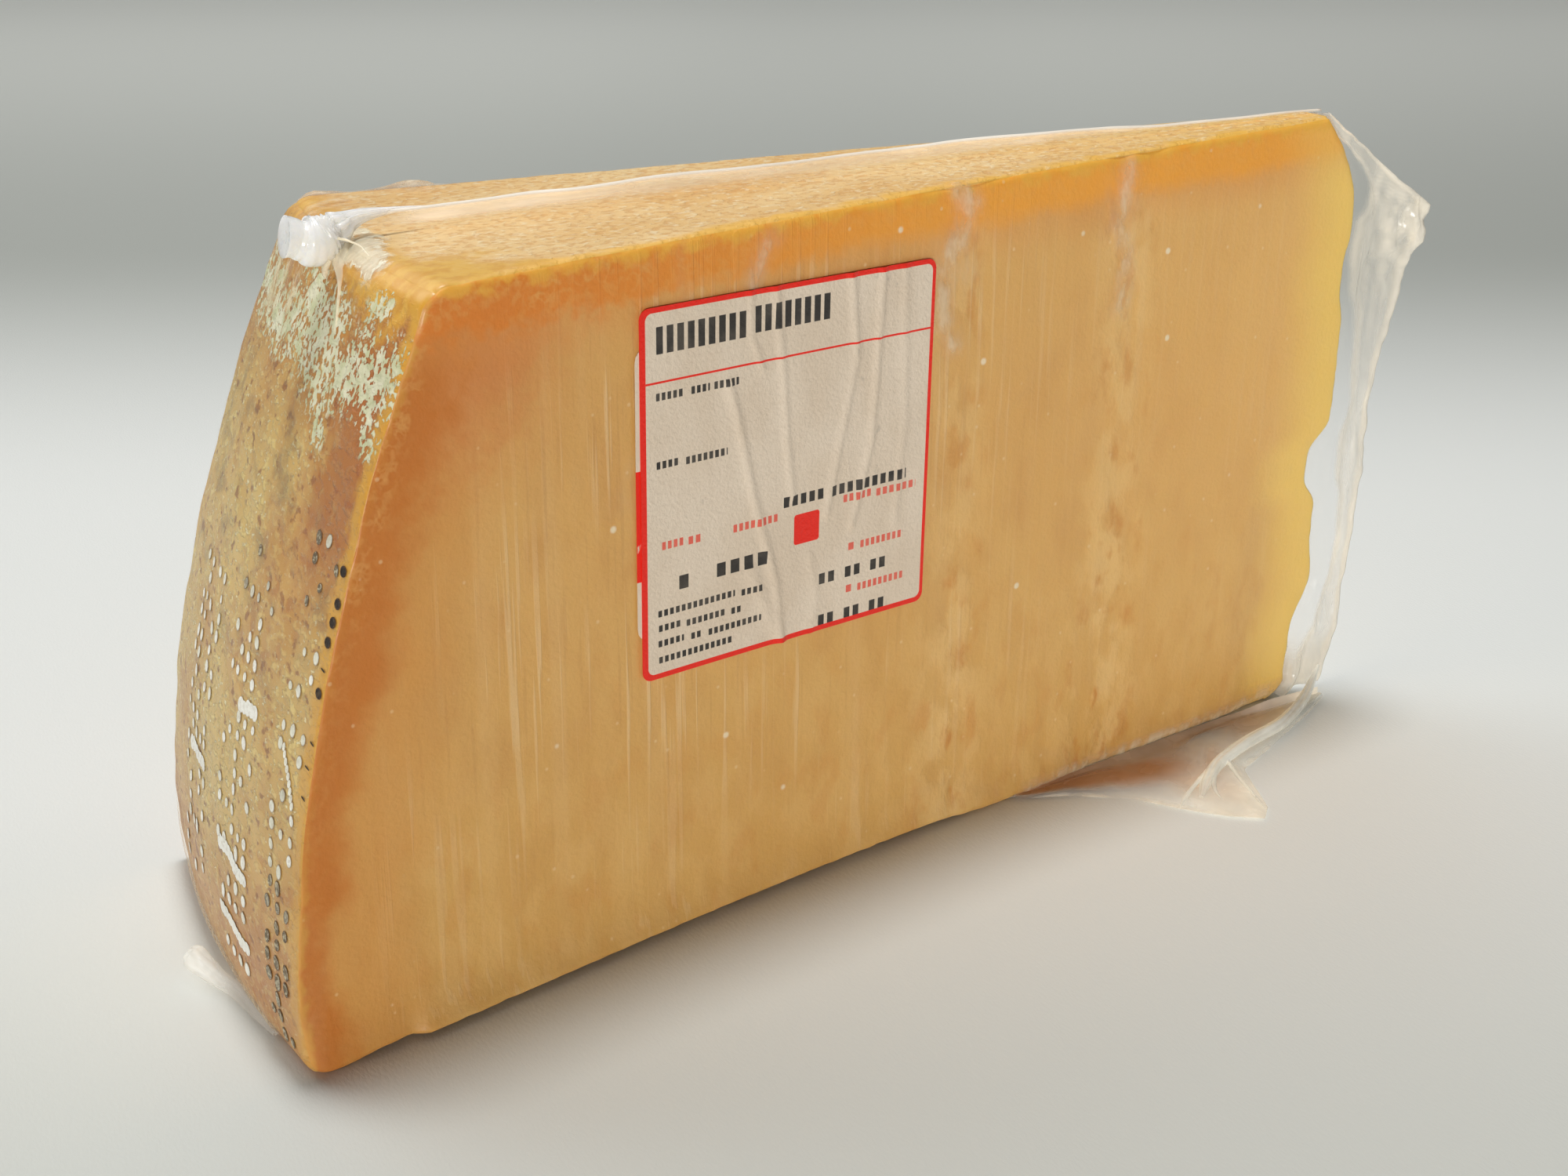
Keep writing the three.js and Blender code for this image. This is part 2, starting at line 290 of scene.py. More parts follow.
BLOOM = (  # lines of pale bloom on the rind: distance from the labelled face and height along each, and width
    (((66, 104), (50, 102), (38, 103), (25, 100)), 4.0),
    (((38, 108), (30, 105), (24, 104)), 5.0),
    (((25, 100), (19, 101.5), (8.6, 103), (3, 103.5)), 4.2),
    (((24, 99), (20, 92)), 1.7),
    (((8, 102), (4, 96)), 2.4),
    (((14, 110.3), (10, 112.5)), 1.5),
    (((60, 107), (54, 103)), 3.5),
)
bloom = np.max([ridge(from_near, high, path, wide) for path, wide in BLOOM], axis=0)
mark(wedge, "bloom", np.where(r > 150, bloom, 0))


def paint(red, green, blue):
    """A colour given in the usual 0 to 255, as the shaders want it."""
    shares = (red / 255, green / 255, blue / 255)
    return (*(c / 12.92 if c <= 0.04045 else ((c + 0.055) / 1.055) ** 2.4 for c in shares), 1.0)


def put(tree, kind, sockets=None, **settings):
    """A shader node with its settings, and its sockets filled with numbers, colours or other nodes'
    outputs."""
    made = tree.nodes.new("ShaderNode" + kind)
    for name, value in settings.items():
        setattr(made, name, value)
    for name, value in (sockets or {}).items():
        if isinstance(value, bpy.types.NodeSocket):
            tree.links.new(value, made.inputs[name])
        else:
            made.inputs[name].default_value = value
    return made


def calc(tree, operation, first, second=0.0):
    return put(tree, "Math", {0: first, 1: second}, operation=operation).outputs[0]


def times(tree, first, *others):
    """The product of masks and numbers."""
    for other in others:
        first = calc(tree, "MULTIPLY", first, other)
    return first


def plus(tree, first, *others):
    """The sum of masks and numbers."""
    for other in others:
        first = calc(tree, "ADD", first, other)
    return first


def less(tree, first, second):
    return calc(tree, "SUBTRACT", first, second)


def most(tree, first, second):
    return calc(tree, "MAXIMUM", first, second)


def fade(tree, value, low, high, start=0.0, stop=1.0):
    """A soft step: start where the value is below low, stop where it is above high."""
    sockets = {"Value": value, "From Min": low, "From Max": high, "To Min": start, "To Max": stop}
    return put(tree, "MapRange", sockets, interpolation_type="SMOOTHSTEP").outputs["Result"]


def tint(tree, share, first, second):
    """The first colour turned towards the second by a share."""
    return put(tree, "Mix", {0: share, 6: first, 7: second}, data_type="RGBA").outputs[2]


def layered(tree, colour, *layers):
    """The colour with more laid over it. Each layer is how much of it shows, and its own colour."""
    for share, shade in layers:
        colour = tint(tree, share, colour, paint(*shade) if isinstance(shade, tuple) else shade)
    return colour


def layer_of(tree, name):
    return put(tree, "Attribute", attribute_name=name).outputs["Fac"]


def new_group(name, inputs, outputs):
    """An empty node group with named sockets. Returns it with its inner input and output sockets."""
    group = bpy.data.node_groups.new(name, "ShaderNodeTree")
    for label, kind, value in inputs:
        socket = group.interface.new_socket(label, in_out="INPUT", socket_type="NodeSocket" + kind)
        socket.default_value = value
    for label, kind in outputs:
        group.interface.new_socket(label, in_out="OUTPUT", socket_type="NodeSocket" + kind)
    return group, group.nodes.new("NodeGroupInput").outputs, group.nodes.new("NodeGroupOutput").inputs


def stretched(group, given):
    """The group's vector, scaled by its stretch."""
    sockets = {0: given["Vector"], 1: given["Stretch"]}
    return put(group, "VectorMath", sockets, operation="MULTIPLY").outputs[0]


def mask_of(tree, effect, stretch, sockets):
    """An effect's mask on the piece's own coordinates."""
    place = {"Vector": put(tree, "TexCoord").outputs["Object"], "Stretch": stretch}
    return put(tree, "Group", {**place, **sockets}, node_tree=effect).outputs["Mask"]


def place_of(tree):
    """The piece's own x, y and z, in metres."""
    return put(tree, "SeparateXYZ", {0: put(tree, "TexCoord").outputs["Object"]}).outputs


# Cloudy patches of a size in millimetres, cut to a mask between two levels.
mottle, given, gives = new_group(
    "Mottle",
    (("Vector", "Vector", (0, 0, 0)), ("Stretch", "Vector", (1, 1, 1)), ("Size", "Float", 5.0),
     ("Detail", "Float", 3.0), ("Low", "Float", 0.3), ("High", "Float", 0.7)),
    (("Mask", "Float"),),
)
clouds = put(mottle, "TexNoise", {
    "Vector": stretched(mottle, given), "Scale": calc(mottle, "DIVIDE", 1000.0, given["Size"]),
    "Detail": given["Detail"],
}).outputs["Fac"]
mottle.links.new(fade(mottle, clouds, given["Low"], given["High"]), gives["Mask"])

# Small separate grains: one in each of a share of the cells of a size in millimetres.
speckle, given, gives = new_group(
    "Speckle",
    (("Vector", "Vector", (0, 0, 0)), ("Stretch", "Vector", (1, 1, 1)), ("Size", "Float", 3.0),
     ("Share", "Float", 0.3), ("Girth", "Float", 0.25)),
    (("Mask", "Float"),),
)
cells = put(speckle, "TexVoronoi", {
    "Vector": stretched(speckle, given), "Scale": calc(speckle, "DIVIDE", 1000.0, given["Size"]),
})
chosen = calc(speckle, "LESS_THAN", put(speckle, "SeparateColor", {0: cells.outputs["Color"]}).outputs[0],
              given["Share"])
grains = fade(speckle, cells.outputs["Distance"], given["Girth"], times(speckle, given["Girth"], 0.4))
speckle.links.new(times(speckle, chosen, grains), gives["Mask"])


def cloudy(tree, size, low=0.3, high=0.7, stretch=(1, 1, 1), detail=3.0):
    return mask_of(tree, mottle, stretch, {"Size": size, "Detail": detail, "Low": low, "High": high})


def wobble(tree, reach, size, low, high, stretch, detail):
    """Cloudy noise from minus to plus half of the reach."""
    return times(tree, less(tree, cloudy(tree, size, low, high, stretch, detail), 0.5), reach)


def grainy(tree, size, share, girth):
    return mask_of(tree, speckle, (1, 1, 1), {"Size": size, "Share": share, "Girth": girth})


def new_finish(name, even=None):
    """A material with one Principled shader, with what is even all over set on its sockets. Returns the
    material, its tree and the shader's inputs."""
    finish = bpy.data.materials.new(name)
    finish.use_nodes = True
    tree = finish.node_tree
    shader = tree.nodes["Principled BSDF"].inputs
    for socket, value in (even or {}).items():
        shader[socket].default_value = value
    return finish, tree, shader


def relief_of(tree, height, deep):
    """A bump normal from a height mask, its full depth given in millimetres."""
    return put(tree, "Bump", {"Height": height, "Distance": deep * 0.001, "Strength": 1.0}).outputs["Normal"]


# The cut paste: straw coloured, orange under the rinds, yellow at the very rim and at the thin end, with the
# wire's upright streaks, white crystals and crumbly patches.
paste, tree, shader = new_finish("cut_paste", {
    "Subsurface Weight": 0.12, "Subsurface Radius": (1.0, 0.55, 0.2), "Subsurface Scale": 0.003,
    "Coat Weight": 0.25, "Coat Roughness": 0.25,
})
place_x, _, place_z = place_of(tree)
from_rind, from_top, from_tip = (layer_of(tree, name) for name in ("from_rind", "from_top", "from_tip"))
uneven = wobble(tree, 7.0, 12.0, 0.2, 0.8, (1, 1, 1), 3.0)
frayed = times(tree, fade(tree, place_x, 0.0, -0.08, 0.25, 1.0), fade(tree, place_z, 0.06, 0.1, 0.3, 1.0))
ragged = times(tree, wobble(tree, 3.0, 2.0, 0.25, 0.75, (1, 1, 1), 5.0), frayed)
rind_way = plus(tree, from_rind, times(tree, uneven, 0.8), ragged)
top_way = plus(tree, from_top, times(tree, uneven, 0.25), ragged)
straw = tint(tree, cloudy(tree, 26.0, 0.3, 0.7, (1, 1, 0.5)), paint(226, 171, 94), paint(232, 182, 106))
lower = fade(tree, place_z, 0.075, 0.015)
crumb = plus(tree, layer_of(tree, "crumbs"), times(tree, lower, 0.45))
patches = cloudy(tree, 5.5, 0.42, 0.6, (1, 1, 0.6), 5.0)
hollows = cloudy(tree, 4.5, 0.52, 0.68, (1.1, 1.1, 0.6), 5.0)
wiry = times(tree, fade(tree, place_x, 0.05, -0.02, 0.15, 1.0), fade(tree, place_z, 0.01, 0.05, 0.4, 1.0))
broad = times(tree, cloudy(tree, 5.0, 0.5, 0.68, (1, 1, 0.03), 2.0), wiry)
wiry = times(tree, wiry, fade(tree, from_rind, 8.0, 18.0))
wires = times(tree, cloudy(tree, 1.2, 0.56, 0.64, (1, 1, 0.02), 2.0),
              cloudy(tree, 26.0, 0.32, 0.56, (1, 1, 0.7)), wiry)
nicks = times(tree, cloudy(tree, 1.0, 0.6, 0.68, (1, 1, 0.03), 2.0), wiry)
corner = times(tree, fade(tree, rind_way, 36.0, 12.0), fade(tree, top_way, 38.0, 12.0))
dark_way = times(tree, rind_way, fade(tree, place_z, 0.03, 0.07, 1.5, 1.0))
below_rim = tint(tree, fade(tree, place_x, -0.09, 0.02), paint(230, 132, 38), paint(252, 170, 54))
by_rind = times(tree, fade(tree, from_rind, 6.0, 2.0), fade(tree, place_z, 0.05, 0.09, 0.3, 1.0))
by_top = times(tree, fade(tree, from_top, 11.0, 3.0), fade(tree, from_rind, 75.0, 20.0, 0.35, 1.0))
near_rim = most(tree, by_rind, by_top)
curls = fade(tree, calc(tree, "ABSOLUTE", less(tree, cloudy(tree, 2.6, 0.35, 0.65), 0.5)), 0.26, 0.06)
curls = times(tree, curls, cloudy(tree, 6.0, 0.42, 0.6), near_rim)
curdy = times(tree, cloudy(tree, 1.6, 0.5, 0.62, (1, 1, 1), 6.0), near_rim)
tip_share = fade(tree, from_tip, 19.0, 3.0, 0.0, 0.95)
tip_share = times(tree, tip_share, fade(tree, from_top, 4.0, 14.0, 0.45, 1.0))
wavy = plus(tree, wobble(tree, 2.6, 3.0, 0.25, 0.75, (1, 1, 1), 6.0), times(tree, uneven, 0.12))
by_foot, by_crown = fade(tree, place_z, 0.05, 0.02, 0.12, 0.75), fade(tree, place_z, 0.092, 0.108, 0.12, 0.75)
rim = fade(tree, plus(tree, from_rind, times(tree, wavy, 0.7)), 1.7, 0.5)
rim = times(tree, rim, most(tree, by_foot, by_crown))
colour = layered(
    tree, straw,
    (cloudy(tree, 7.0, 0.45, 0.75, (1, 1, 0.45), 4.0), (218, 161, 88)),
    (fade(tree, place_x, -0.02, 0.1, 0.0, 0.7), (244, 190, 110)),
    (times(tree, lower, 0.5), (222, 172, 88)),
    (times(tree, patches, crumb, 0.5), (246, 203, 132)),
    (times(tree, hollows, crumb, 0.65), (216, 146, 64)),
    (times(tree, broad, 0.2), (240, 198, 136)),
    (times(tree, wires, 0.5), (246, 212, 160)),
    (times(tree, nicks, 0.22), (196, 136, 74)),
    (fade(tree, rind_way, 28.0, 10.0, 0.0, 0.75), (222, 154, 72)),
    (times(tree, corner, 0.7), (218, 130, 66)),
    (fade(tree, dark_way, 14.0, 4.5, 0.0, 0.9), (208, 118, 28)),
    (fade(tree, top_way, 16.0, 6.0, 0.0, 0.5), (232, 154, 76)),
    (fade(tree, top_way, 9.5, 5.4, 0.0, 0.95), below_rim),
    (times(tree, curls, 0.32), (240, 182, 100)),
    (times(tree, curdy, 0.3), (238, 178, 96)),
    (times(tree, grainy(tree, 11.0, 0.55, 0.075), 0.8), (255, 238, 206)),
    (times(tree, grainy(tree, 3.2, 0.35, 0.14), 0.4), (250, 220, 170)),
    (tip_share, (255, 211, 110)),
    (rim, (220, 160, 60)),
    (fade(tree, plus(tree, from_top, wavy), 2.7, 0.3, 0.0, 0.8), (246, 186, 72)),
)
grain = plus(tree, times(tree, wires, 0.4), times(tree, cloudy(tree, 0.9), 0.3),
             times(tree, patches, crumb, 0.9))
tree.links.new(colour, shader["Base Color"])
tree.links.new(fade(tree, patches, 0.0, 1.0, 0.5, 0.62), shader["Roughness"])
tree.links.new(relief_of(tree, grain, 0.12), shader["Normal"])

# The barrel rind: dry ochre with upright pale flecks and brown hollows, smooth and yellow at its shoulder and
# along the cut edge, and grown over with a ragged pale bloom under the knot. Its paler tone away from the
# labelled face and its finest near-white specks are partly painted: the sheen and glints of the film's gloss.
barrel, tree, shader = new_finish("barrel_rind", {"Coat Weight": 0.35, "Coat Roughness": 0.25})
place_z = place_of(tree)[2]
from_near, from_top, bloomed = (layer_of(tree, name) for name in ("from_near", "from_top", "bloom"))
ragged = wobble(tree, 1.0, 3.0, 0.2, 0.8, (1, 1, 0.7), 6.0)
fine = wobble(tree, 1.0, 0.9, 0.3, 0.7, (1, 1, 0.85), 6.0)
ochre = tint(tree, cloudy(tree, 11.0, 0.35, 0.65, (1, 1, 0.6), 4.0), paint(194, 140, 66), paint(214, 166, 90))
brown = cloudy(tree, 3.0, 0.5, 0.62, (1, 0.7, 1), 6.0)
ends = most(tree, fade(tree, place_z, 0.08, 0.105), fade(tree, place_z, 0.032, 0.012))
# Painted sheen in part: the pale dust is laid on more away from the labelled face, where the film's gloss
# shows.
dust_and_sheen = plus(tree, cloudy(tree, 16.0, 0.36, 0.66, (1, 1, 0.5)), fade(tree, from_near, 14.0, 44.0, 0.0, 0.4))
dust_and_sheen = times(tree, dust_and_sheen, less(tree, 1.0, times(tree, ends, 0.75)))
fleck_share = plus(tree, times(tree, dust_and_sheen, 0.7), 0.25)
flecks = times(tree, cloudy(tree, 1.3, 0.5, 0.64, (1, 0.6, 1), 7.0), fleck_share)
# The finest near-white specks stand partly for painted glints of the film's gloss.
specks_and_glints = times(tree, cloudy(tree, 0.7, 0.6, 0.68, (1, 0.6, 1), 5.0), fleck_share)
hollow = cloudy(tree, 1.5, 0.58, 0.68, (1, 0.6, 0.8), 6.0)
soot = times(tree, cloudy(tree, 6.0, 0.5, 0.68, (1, 0.7, 1), 6.0), fade(tree, place_z, 0.05, 0.065),
             fade(tree, place_z, 0.1, 0.088))
rosy = fade(tree, plus(tree, from_near, times(tree, ragged, 9.0)), 24.0, 8.0)
rosy = times(tree, rosy, fade(tree, place_z, 0.064, 0.084))
shoulder = plus(tree, from_top, times(tree, ragged, 8.0), fade(tree, from_near, 14.0, 34.0, 0.0, 5.0))
golden = tint(tree, cloudy(tree, 2.4, 0.4, 0.62, (1, 1, 1), 5.0), paint(228, 168, 56), paint(238, 188, 78))
edge = plus(tree, from_near, times(tree, ragged, 2.6))
frayed = plus(tree, bloomed, times(tree, ragged, 1.1), times(tree, fine, 1.5))
mould = times(tree, fade(tree, frayed, 0.5, 0.62), fade(tree, bloomed, 0.04, 0.2))
mouldy = tint(tree, cloudy(tree, 3.0, 0.35, 0.65, (1, 1, 1), 5.0), paint(208, 212, 168), paint(234, 232, 202))
colour = layered(
    tree, ochre,
    (times(tree, brown, 0.6), (180, 112, 48)),
    (times(tree, ends, 0.55), (180, 110, 46)),
    (times(tree, dust_and_sheen, 0.5), (224, 196, 118)),
    (times(tree, flecks, 0.8), (234, 206, 128)),
    (specks_and_glints, (252, 238, 186)),
    (times(tree, hollow, 0.75), (142, 82, 34)),
    (times(tree, soot, 0.4), (128, 112, 78)),
    (times(tree, rosy, 0.8), (176, 98, 40)),
    (fade(tree, shoulder, 11.0, 3.0, 0.0, 0.9), golden),
    (times(tree, fade(tree, edge, 4.4, 1.8), fade(tree, place_z, 0.03, 0.06, 0.55, 0.85)), (222, 166, 62)),
    (times(tree, fade(tree, edge, 1.1, 0.3), fade(tree, place_z, 0.02, 0.07, 0.1, 0.5)), (226, 158, 40)),
    (times(tree, mould, 0.93), mouldy),
)
grain = plus(tree, times(tree, flecks, 1.2), times(tree, mould, 0.9), specks_and_glints, times(tree, brown, -0.7))
grain = times(tree, grain, fade(tree, from_top, 0.5, 5.0))
tree.links.new(colour, shader["Base Color"])
tree.links.new(fade(tree, mould, 0.0, 1.0, 0.5, 0.8), shader["Roughness"])
tree.links.new(relief_of(tree, grain, 0.2), shader["Normal"])

# The wheel's flat side: pale tan, brushed and dried in fine lines that run along the wedge, smooth and yellow
# at the corner by the knot.
flat_side, tree, shader = new_finish("flat_rind", {"Coat Weight": 0.35, "Coat Roughness": 0.3})
tan = tint(tree, cloudy(tree, 14.0, 0.3, 0.7, (0.5, 1, 1)), paint(236, 190, 118), paint(246, 210, 148))
threads = cloudy(tree, 1.3, 0.48, 0.64, (0.8, 1, 1), 7.0)
pale = cloudy(tree, 1.0, 0.53, 0.66, (0.7, 1, 1), 7.0)
ragged = wobble(tree, 1.0, 4.0, 0.2, 0.8, (0.5, 1, 1), 4.0)
from_rind = layer_of(tree, "from_rind")
edge = plus(tree, layer_of(tree, "from_near"), times(tree, ragged, 4.0))
corner = fade(tree, plus(tree, from_rind, times(tree, ragged, 10.0)), 20.0, 9.0)
corner = times(tree, corner, fade(tree, edge, 17.0, 9.0))
corner = most(tree, corner, fade(tree, from_rind, 7.0, 3.0))
golden = tint(tree, cloudy(tree, 2.4, 0.4, 0.62, (1, 1, 1), 5.0), paint(220, 162, 52), paint(232, 182, 72))
colour = layered(
    tree, tan,
    (fade(tree, place_of(tree)[0], -0.01, 0.09, 0.0, 0.7), (240, 192, 100)),
    (times(tree, threads, 0.6), (214, 156, 84)),
    (times(tree, pale, 0.6), (254, 234, 192)),
    (fade(tree, edge, 3.6, 0.8, 0.0, 0.85), (244, 188, 72)),
    (times(tree, corner, 0.9), golden),
)
grain = plus(tree, times(tree, threads, -0.8), times(tree, pale, 0.5))
grain = times(tree, grain, less(tree, 1.0, times(tree, corner, 0.95)))
tree.links.new(colour, shader["Base Color"])
tree.links.new(fade(tree, threads, 0.0, 1.0, 0.55, 0.7), shader["Roughness"])
tree.links.new(relief_of(tree, grain, 0.14), shader["Normal"])

for finish in (paste, barrel, flat_side):
    wedge.data.materials.append(finish)
corner_lists = np.empty(len(wedge.data.polygons) * 4, int)
wedge.data.polygons.foreach_get("vertices", corner_lists)
faces = corner_lists.reshape(-1, 4)
slots = np.where(side["rind"][faces].all(1), 1, np.where(side["top"][faces].all(1), 2, 0))
wedge.data.polygons.foreach_set("material_index", slots.astype(np.int32))
wedge.data.polygons.foreach_set("use_smooth", np.ones(len(faces), bool))
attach(wedge, "root")
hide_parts("cheese")


# ------------------------------------------------------------------------------------------------------------
# The marks in the rind. A dotted band presses small round pits into the young wheel: here plain level rows of
# dots in three upright bands. Pale mould fills most of them, and those at the cut edge have dried dark.
# ------------------------------------------------------------------------------------------------------------
PUNCH_FILES = (  # distances of the upright files of dots in each band from the labelled face
    (0.6, 4.1, 7.5, 10.7), (21.1, 24.5, 27.6, 30.8, 33.9), (44.6, 47.7, 50.8, 53.9, 57.0),
)
PUNCH_SPANS = ((5.0, 86.0), (9.0, 76.0), (12.0, 68.0))  # lowest and highest row in each band
PUNCH_ROW = 3.02
PUNCH_SIZE = (0.8424, 0.98)
PUNCH_SHARE = (0.62, 0.5)  # how many of the dots show, low down and above WORN_HEIGHT
WORN_HEIGHT = 60
BARE_HEIGHT = 66  # above it the mould in the dots is thin
DUSTY_HEIGHT = 30  # below it the dots by the face are only dusty
DRY_PITS = ((1.7, 78.3), (1.6, 73.8), (1.7, 71.2), (1.8, 68.4), (1.5, 61.3))
CRACKS = ((1.5, 64.6), (1.0, 54.2), (1.5, 50.5), (1.4, 46.0))
STROKES = (  # first, last and height of each row of dots that run together
    (20.8, 33.6, 24.6), (20.2, 33.2, 13.6), (45.0, 54.5, 33.4), (21.5, 27.8, 50.8),
)
STROKE_REACH = 2.2
SLASH = ((9.4, 50.6), (4.4, 43.6))

bpy.ops.object.select_all(action="DESELECT")
bpy.ops.mesh.primitive_circle_add(vertices=10, radius=1, fill_type="NGON", location=(0, 0, 0))
punch = bpy.context.object
bpy.ops.object.mode_set(mode="EDIT")
bpy.ops.mesh.inset(thickness=0.22, depth=0.05)
bpy.ops.mesh.inset(thickness=0.26, depth=-0.08)
bpy.ops.mesh.poke()
bpy.ops.object.mode_set(mode="OBJECT")
# The rim attribute marks the pit's outer ring, where its finish paints a shadow.
mark(punch, "rim", np.hypot(*corners_of(punch)[:, :2].T) > 0.95)


def rind_frame(from_near, high):
    """A place on the rind by its distance from the labelled face and its height, and the ways across, up and
    out."""
    def at(distance, height):
        height = np.array([height])
        radius = rind_radius(height)
        share = distance / (2 * radius * math.sin(HALF_ANGLE) - face_setback(radius, height))
        return Vector(in_wedge(radius, share, height)[0] - (rind_relief(share, height)[0], 0, 0))
    spot = at(from_near, high)
    along = (at(from_near + 0.5, high) - spot).normalized()
    up = (at(from_near, high + 0.5) - spot).normalized()
    return spot, along, up, up.cross(along).normalized()


def stamp(from_near, high, girth, mould, lift=0.1, lean=0.0, relief=1.0):
    """A copy of the pit, stretched by its girth, leaning, and set on the rind. Mould is how pale its filling
    is. With less relief than 1 it has no dark rim of painted shadow."""
    spot, along, up, out = rind_frame(from_near, high)
    copy = punch.copy()
    copy.data = punch.data.copy()
    bpy.context.collection.objects.link(copy)
    along, up = along * math.cos(lean) + up * math.sin(lean), up * math.cos(lean) - along * math.sin(lean)
    turn = Matrix((along * girth[0], up * girth[1], out * relief)).transposed().to_4x4()
    turn.translation = spot + out * lift
    copy.data.transform(Matrix.Diagonal((0.001, 0.001, 0.001, 1)) @ turn)
    mark(copy, "mould", np.full(len(copy.data.vertices), mould))
    if relief < 1:
        copy.data.attributes["rim"].data.foreach_set("value", np.zeros(len(copy.data.vertices), np.float32))
    return copy


def pick(*pieces):
    """Selects these pieces alone, the first of them active."""
    bpy.ops.object.select_all(action="DESELECT")
    for piece in pieces:
        piece.select_set(True)
    bpy.context.view_layer.objects.active = pieces[0]


def joined(pieces, name):
    """One piece made of several."""
    pick(*pieces)
    bpy.ops.object.join()
    whole = bpy.context.object
    whole.name = whole.data.name = name
    return whole


def in_stroke(across_rind, high_rind):
    return any(first - 1 < across_rind < last + 1 and abs(level - high_rind) < STROKE_REACH
               for first, last, level in STROKES)


chance = random.Random(23)
stamps = []
for band, (files, (lowest, highest)) in enumerate(zip(PUNCH_FILES, PUNCH_SPANS)):
    for row in range(int((highest - lowest) / PUNCH_ROW)):
        for dot, file in enumerate(files):
            across_rind = file + chance.uniform(-0.3, 0.3)
            high_rind = lowest + row * PUNCH_ROW + chance.uniform(-0.35, 0.35)
            size = chance.uniform(0.8, 1.15)
            stretch = chance.uniform(0.9, 1.15)
            if chance.random() > PUNCH_SHARE[high_rind > WORN_HEIGHT] or (band == 0 and dot == 0):
                continue
            if in_stroke(across_rind, high_rind):
                continue
            mould = chance.uniform(0.8, 1.0) if band else chance.uniform(0.6, 0.95)
            if high_rind > BARE_HEIGHT:
                mould = chance.uniform(0.25, 0.7)
            if band == 0 and high_rind < DUSTY_HEIGHT:
                mould *= 0.45
            size *= 1.28 - 0.3 * min(high_rind / WORN_HEIGHT, 1)
            girth = (PUNCH_SIZE[0] * size, PUNCH_SIZE[1] * size * stretch)
            stamps.append(stamp(across_rind, high_rind, girth, mould, 0.1, chance.uniform(-0.4, 0.4)))
for across_rind, high_rind in DRY_PITS:
    stamps.append(stamp(across_rind, high_rind, (1.05, 0.85), 0.0))
for across_rind, high_rind in CRACKS:
    stamps.append(stamp(across_rind, high_rind, (0.75, 0.16), 0.0, 0.14, 0.2))
for first, last, high_rind in STROKES:
    for across_rind in np.arange(first, last, 1.5):
        rise = 2.2 * noise.noise(Vector((across_rind * 0.12, high_rind, 0))) + chance.uniform(-0.2, 0.2)
        girth = (1.25, 1.0 + 0.35 * chance.random())
        stamps.append(stamp(across_rind, high_rind + rise, girth, 1.0, 0.12, 0.0, 0.15))
for across_rind, high_rind in np.linspace(*SLASH, 9):
    stamps.append(stamp(across_rind, high_rind, (0.55, 0.75), 0.85, 0.12))
marks = joined(stamps, "rind_marks")
bpy.data.objects.remove(punch)

pit, tree, shader = new_finish("rind_mark", {"Roughness": 0.8, "Coat Weight": 0.1, "Coat Roughness": 0.25})
mould = layer_of(tree, "mould")
dusting = times(tree, cloudy(tree, 0.6, 0.45, 0.62, (1, 1, 1), 4.0), fade(tree, mould, 0.1, 0.3),
                fade(tree, mould, 0.9, 0.4, 0.1, 0.75))
# Painted shadow: a dark brown ring round the edge of each pit.
pit_shadow_ring = tint(tree, fade(tree, mould, 0.45, 0.95), paint(104, 64, 26), paint(156, 122, 78))
colour = layered(
    tree, tint(tree, fade(tree, mould, 0.0, 0.3), paint(30, 16, 8), paint(110, 96, 74)),
    (fade(tree, mould, 0.3, 0.75), (236, 234, 216)),
    (fade(tree, mould, 0.75, 1.0), (254, 252, 242)),
    (dusting, (214, 206, 178)),
    (times(tree, cloudy(tree, 0.9, 0.5, 0.66, (1, 1, 1), 4.0), 0.22), (160, 132, 92)),
    (times(tree, layer_of(tree, "rim"), 0.95), pit_shadow_ring),
)
tree.links.new(colour, shader["Base Color"])
tree.links.new(relief_of(tree, cloudy(tree, 0.4), 0.06), shader["Normal"])
marks.data.materials.append(pit)
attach(marks, "root")
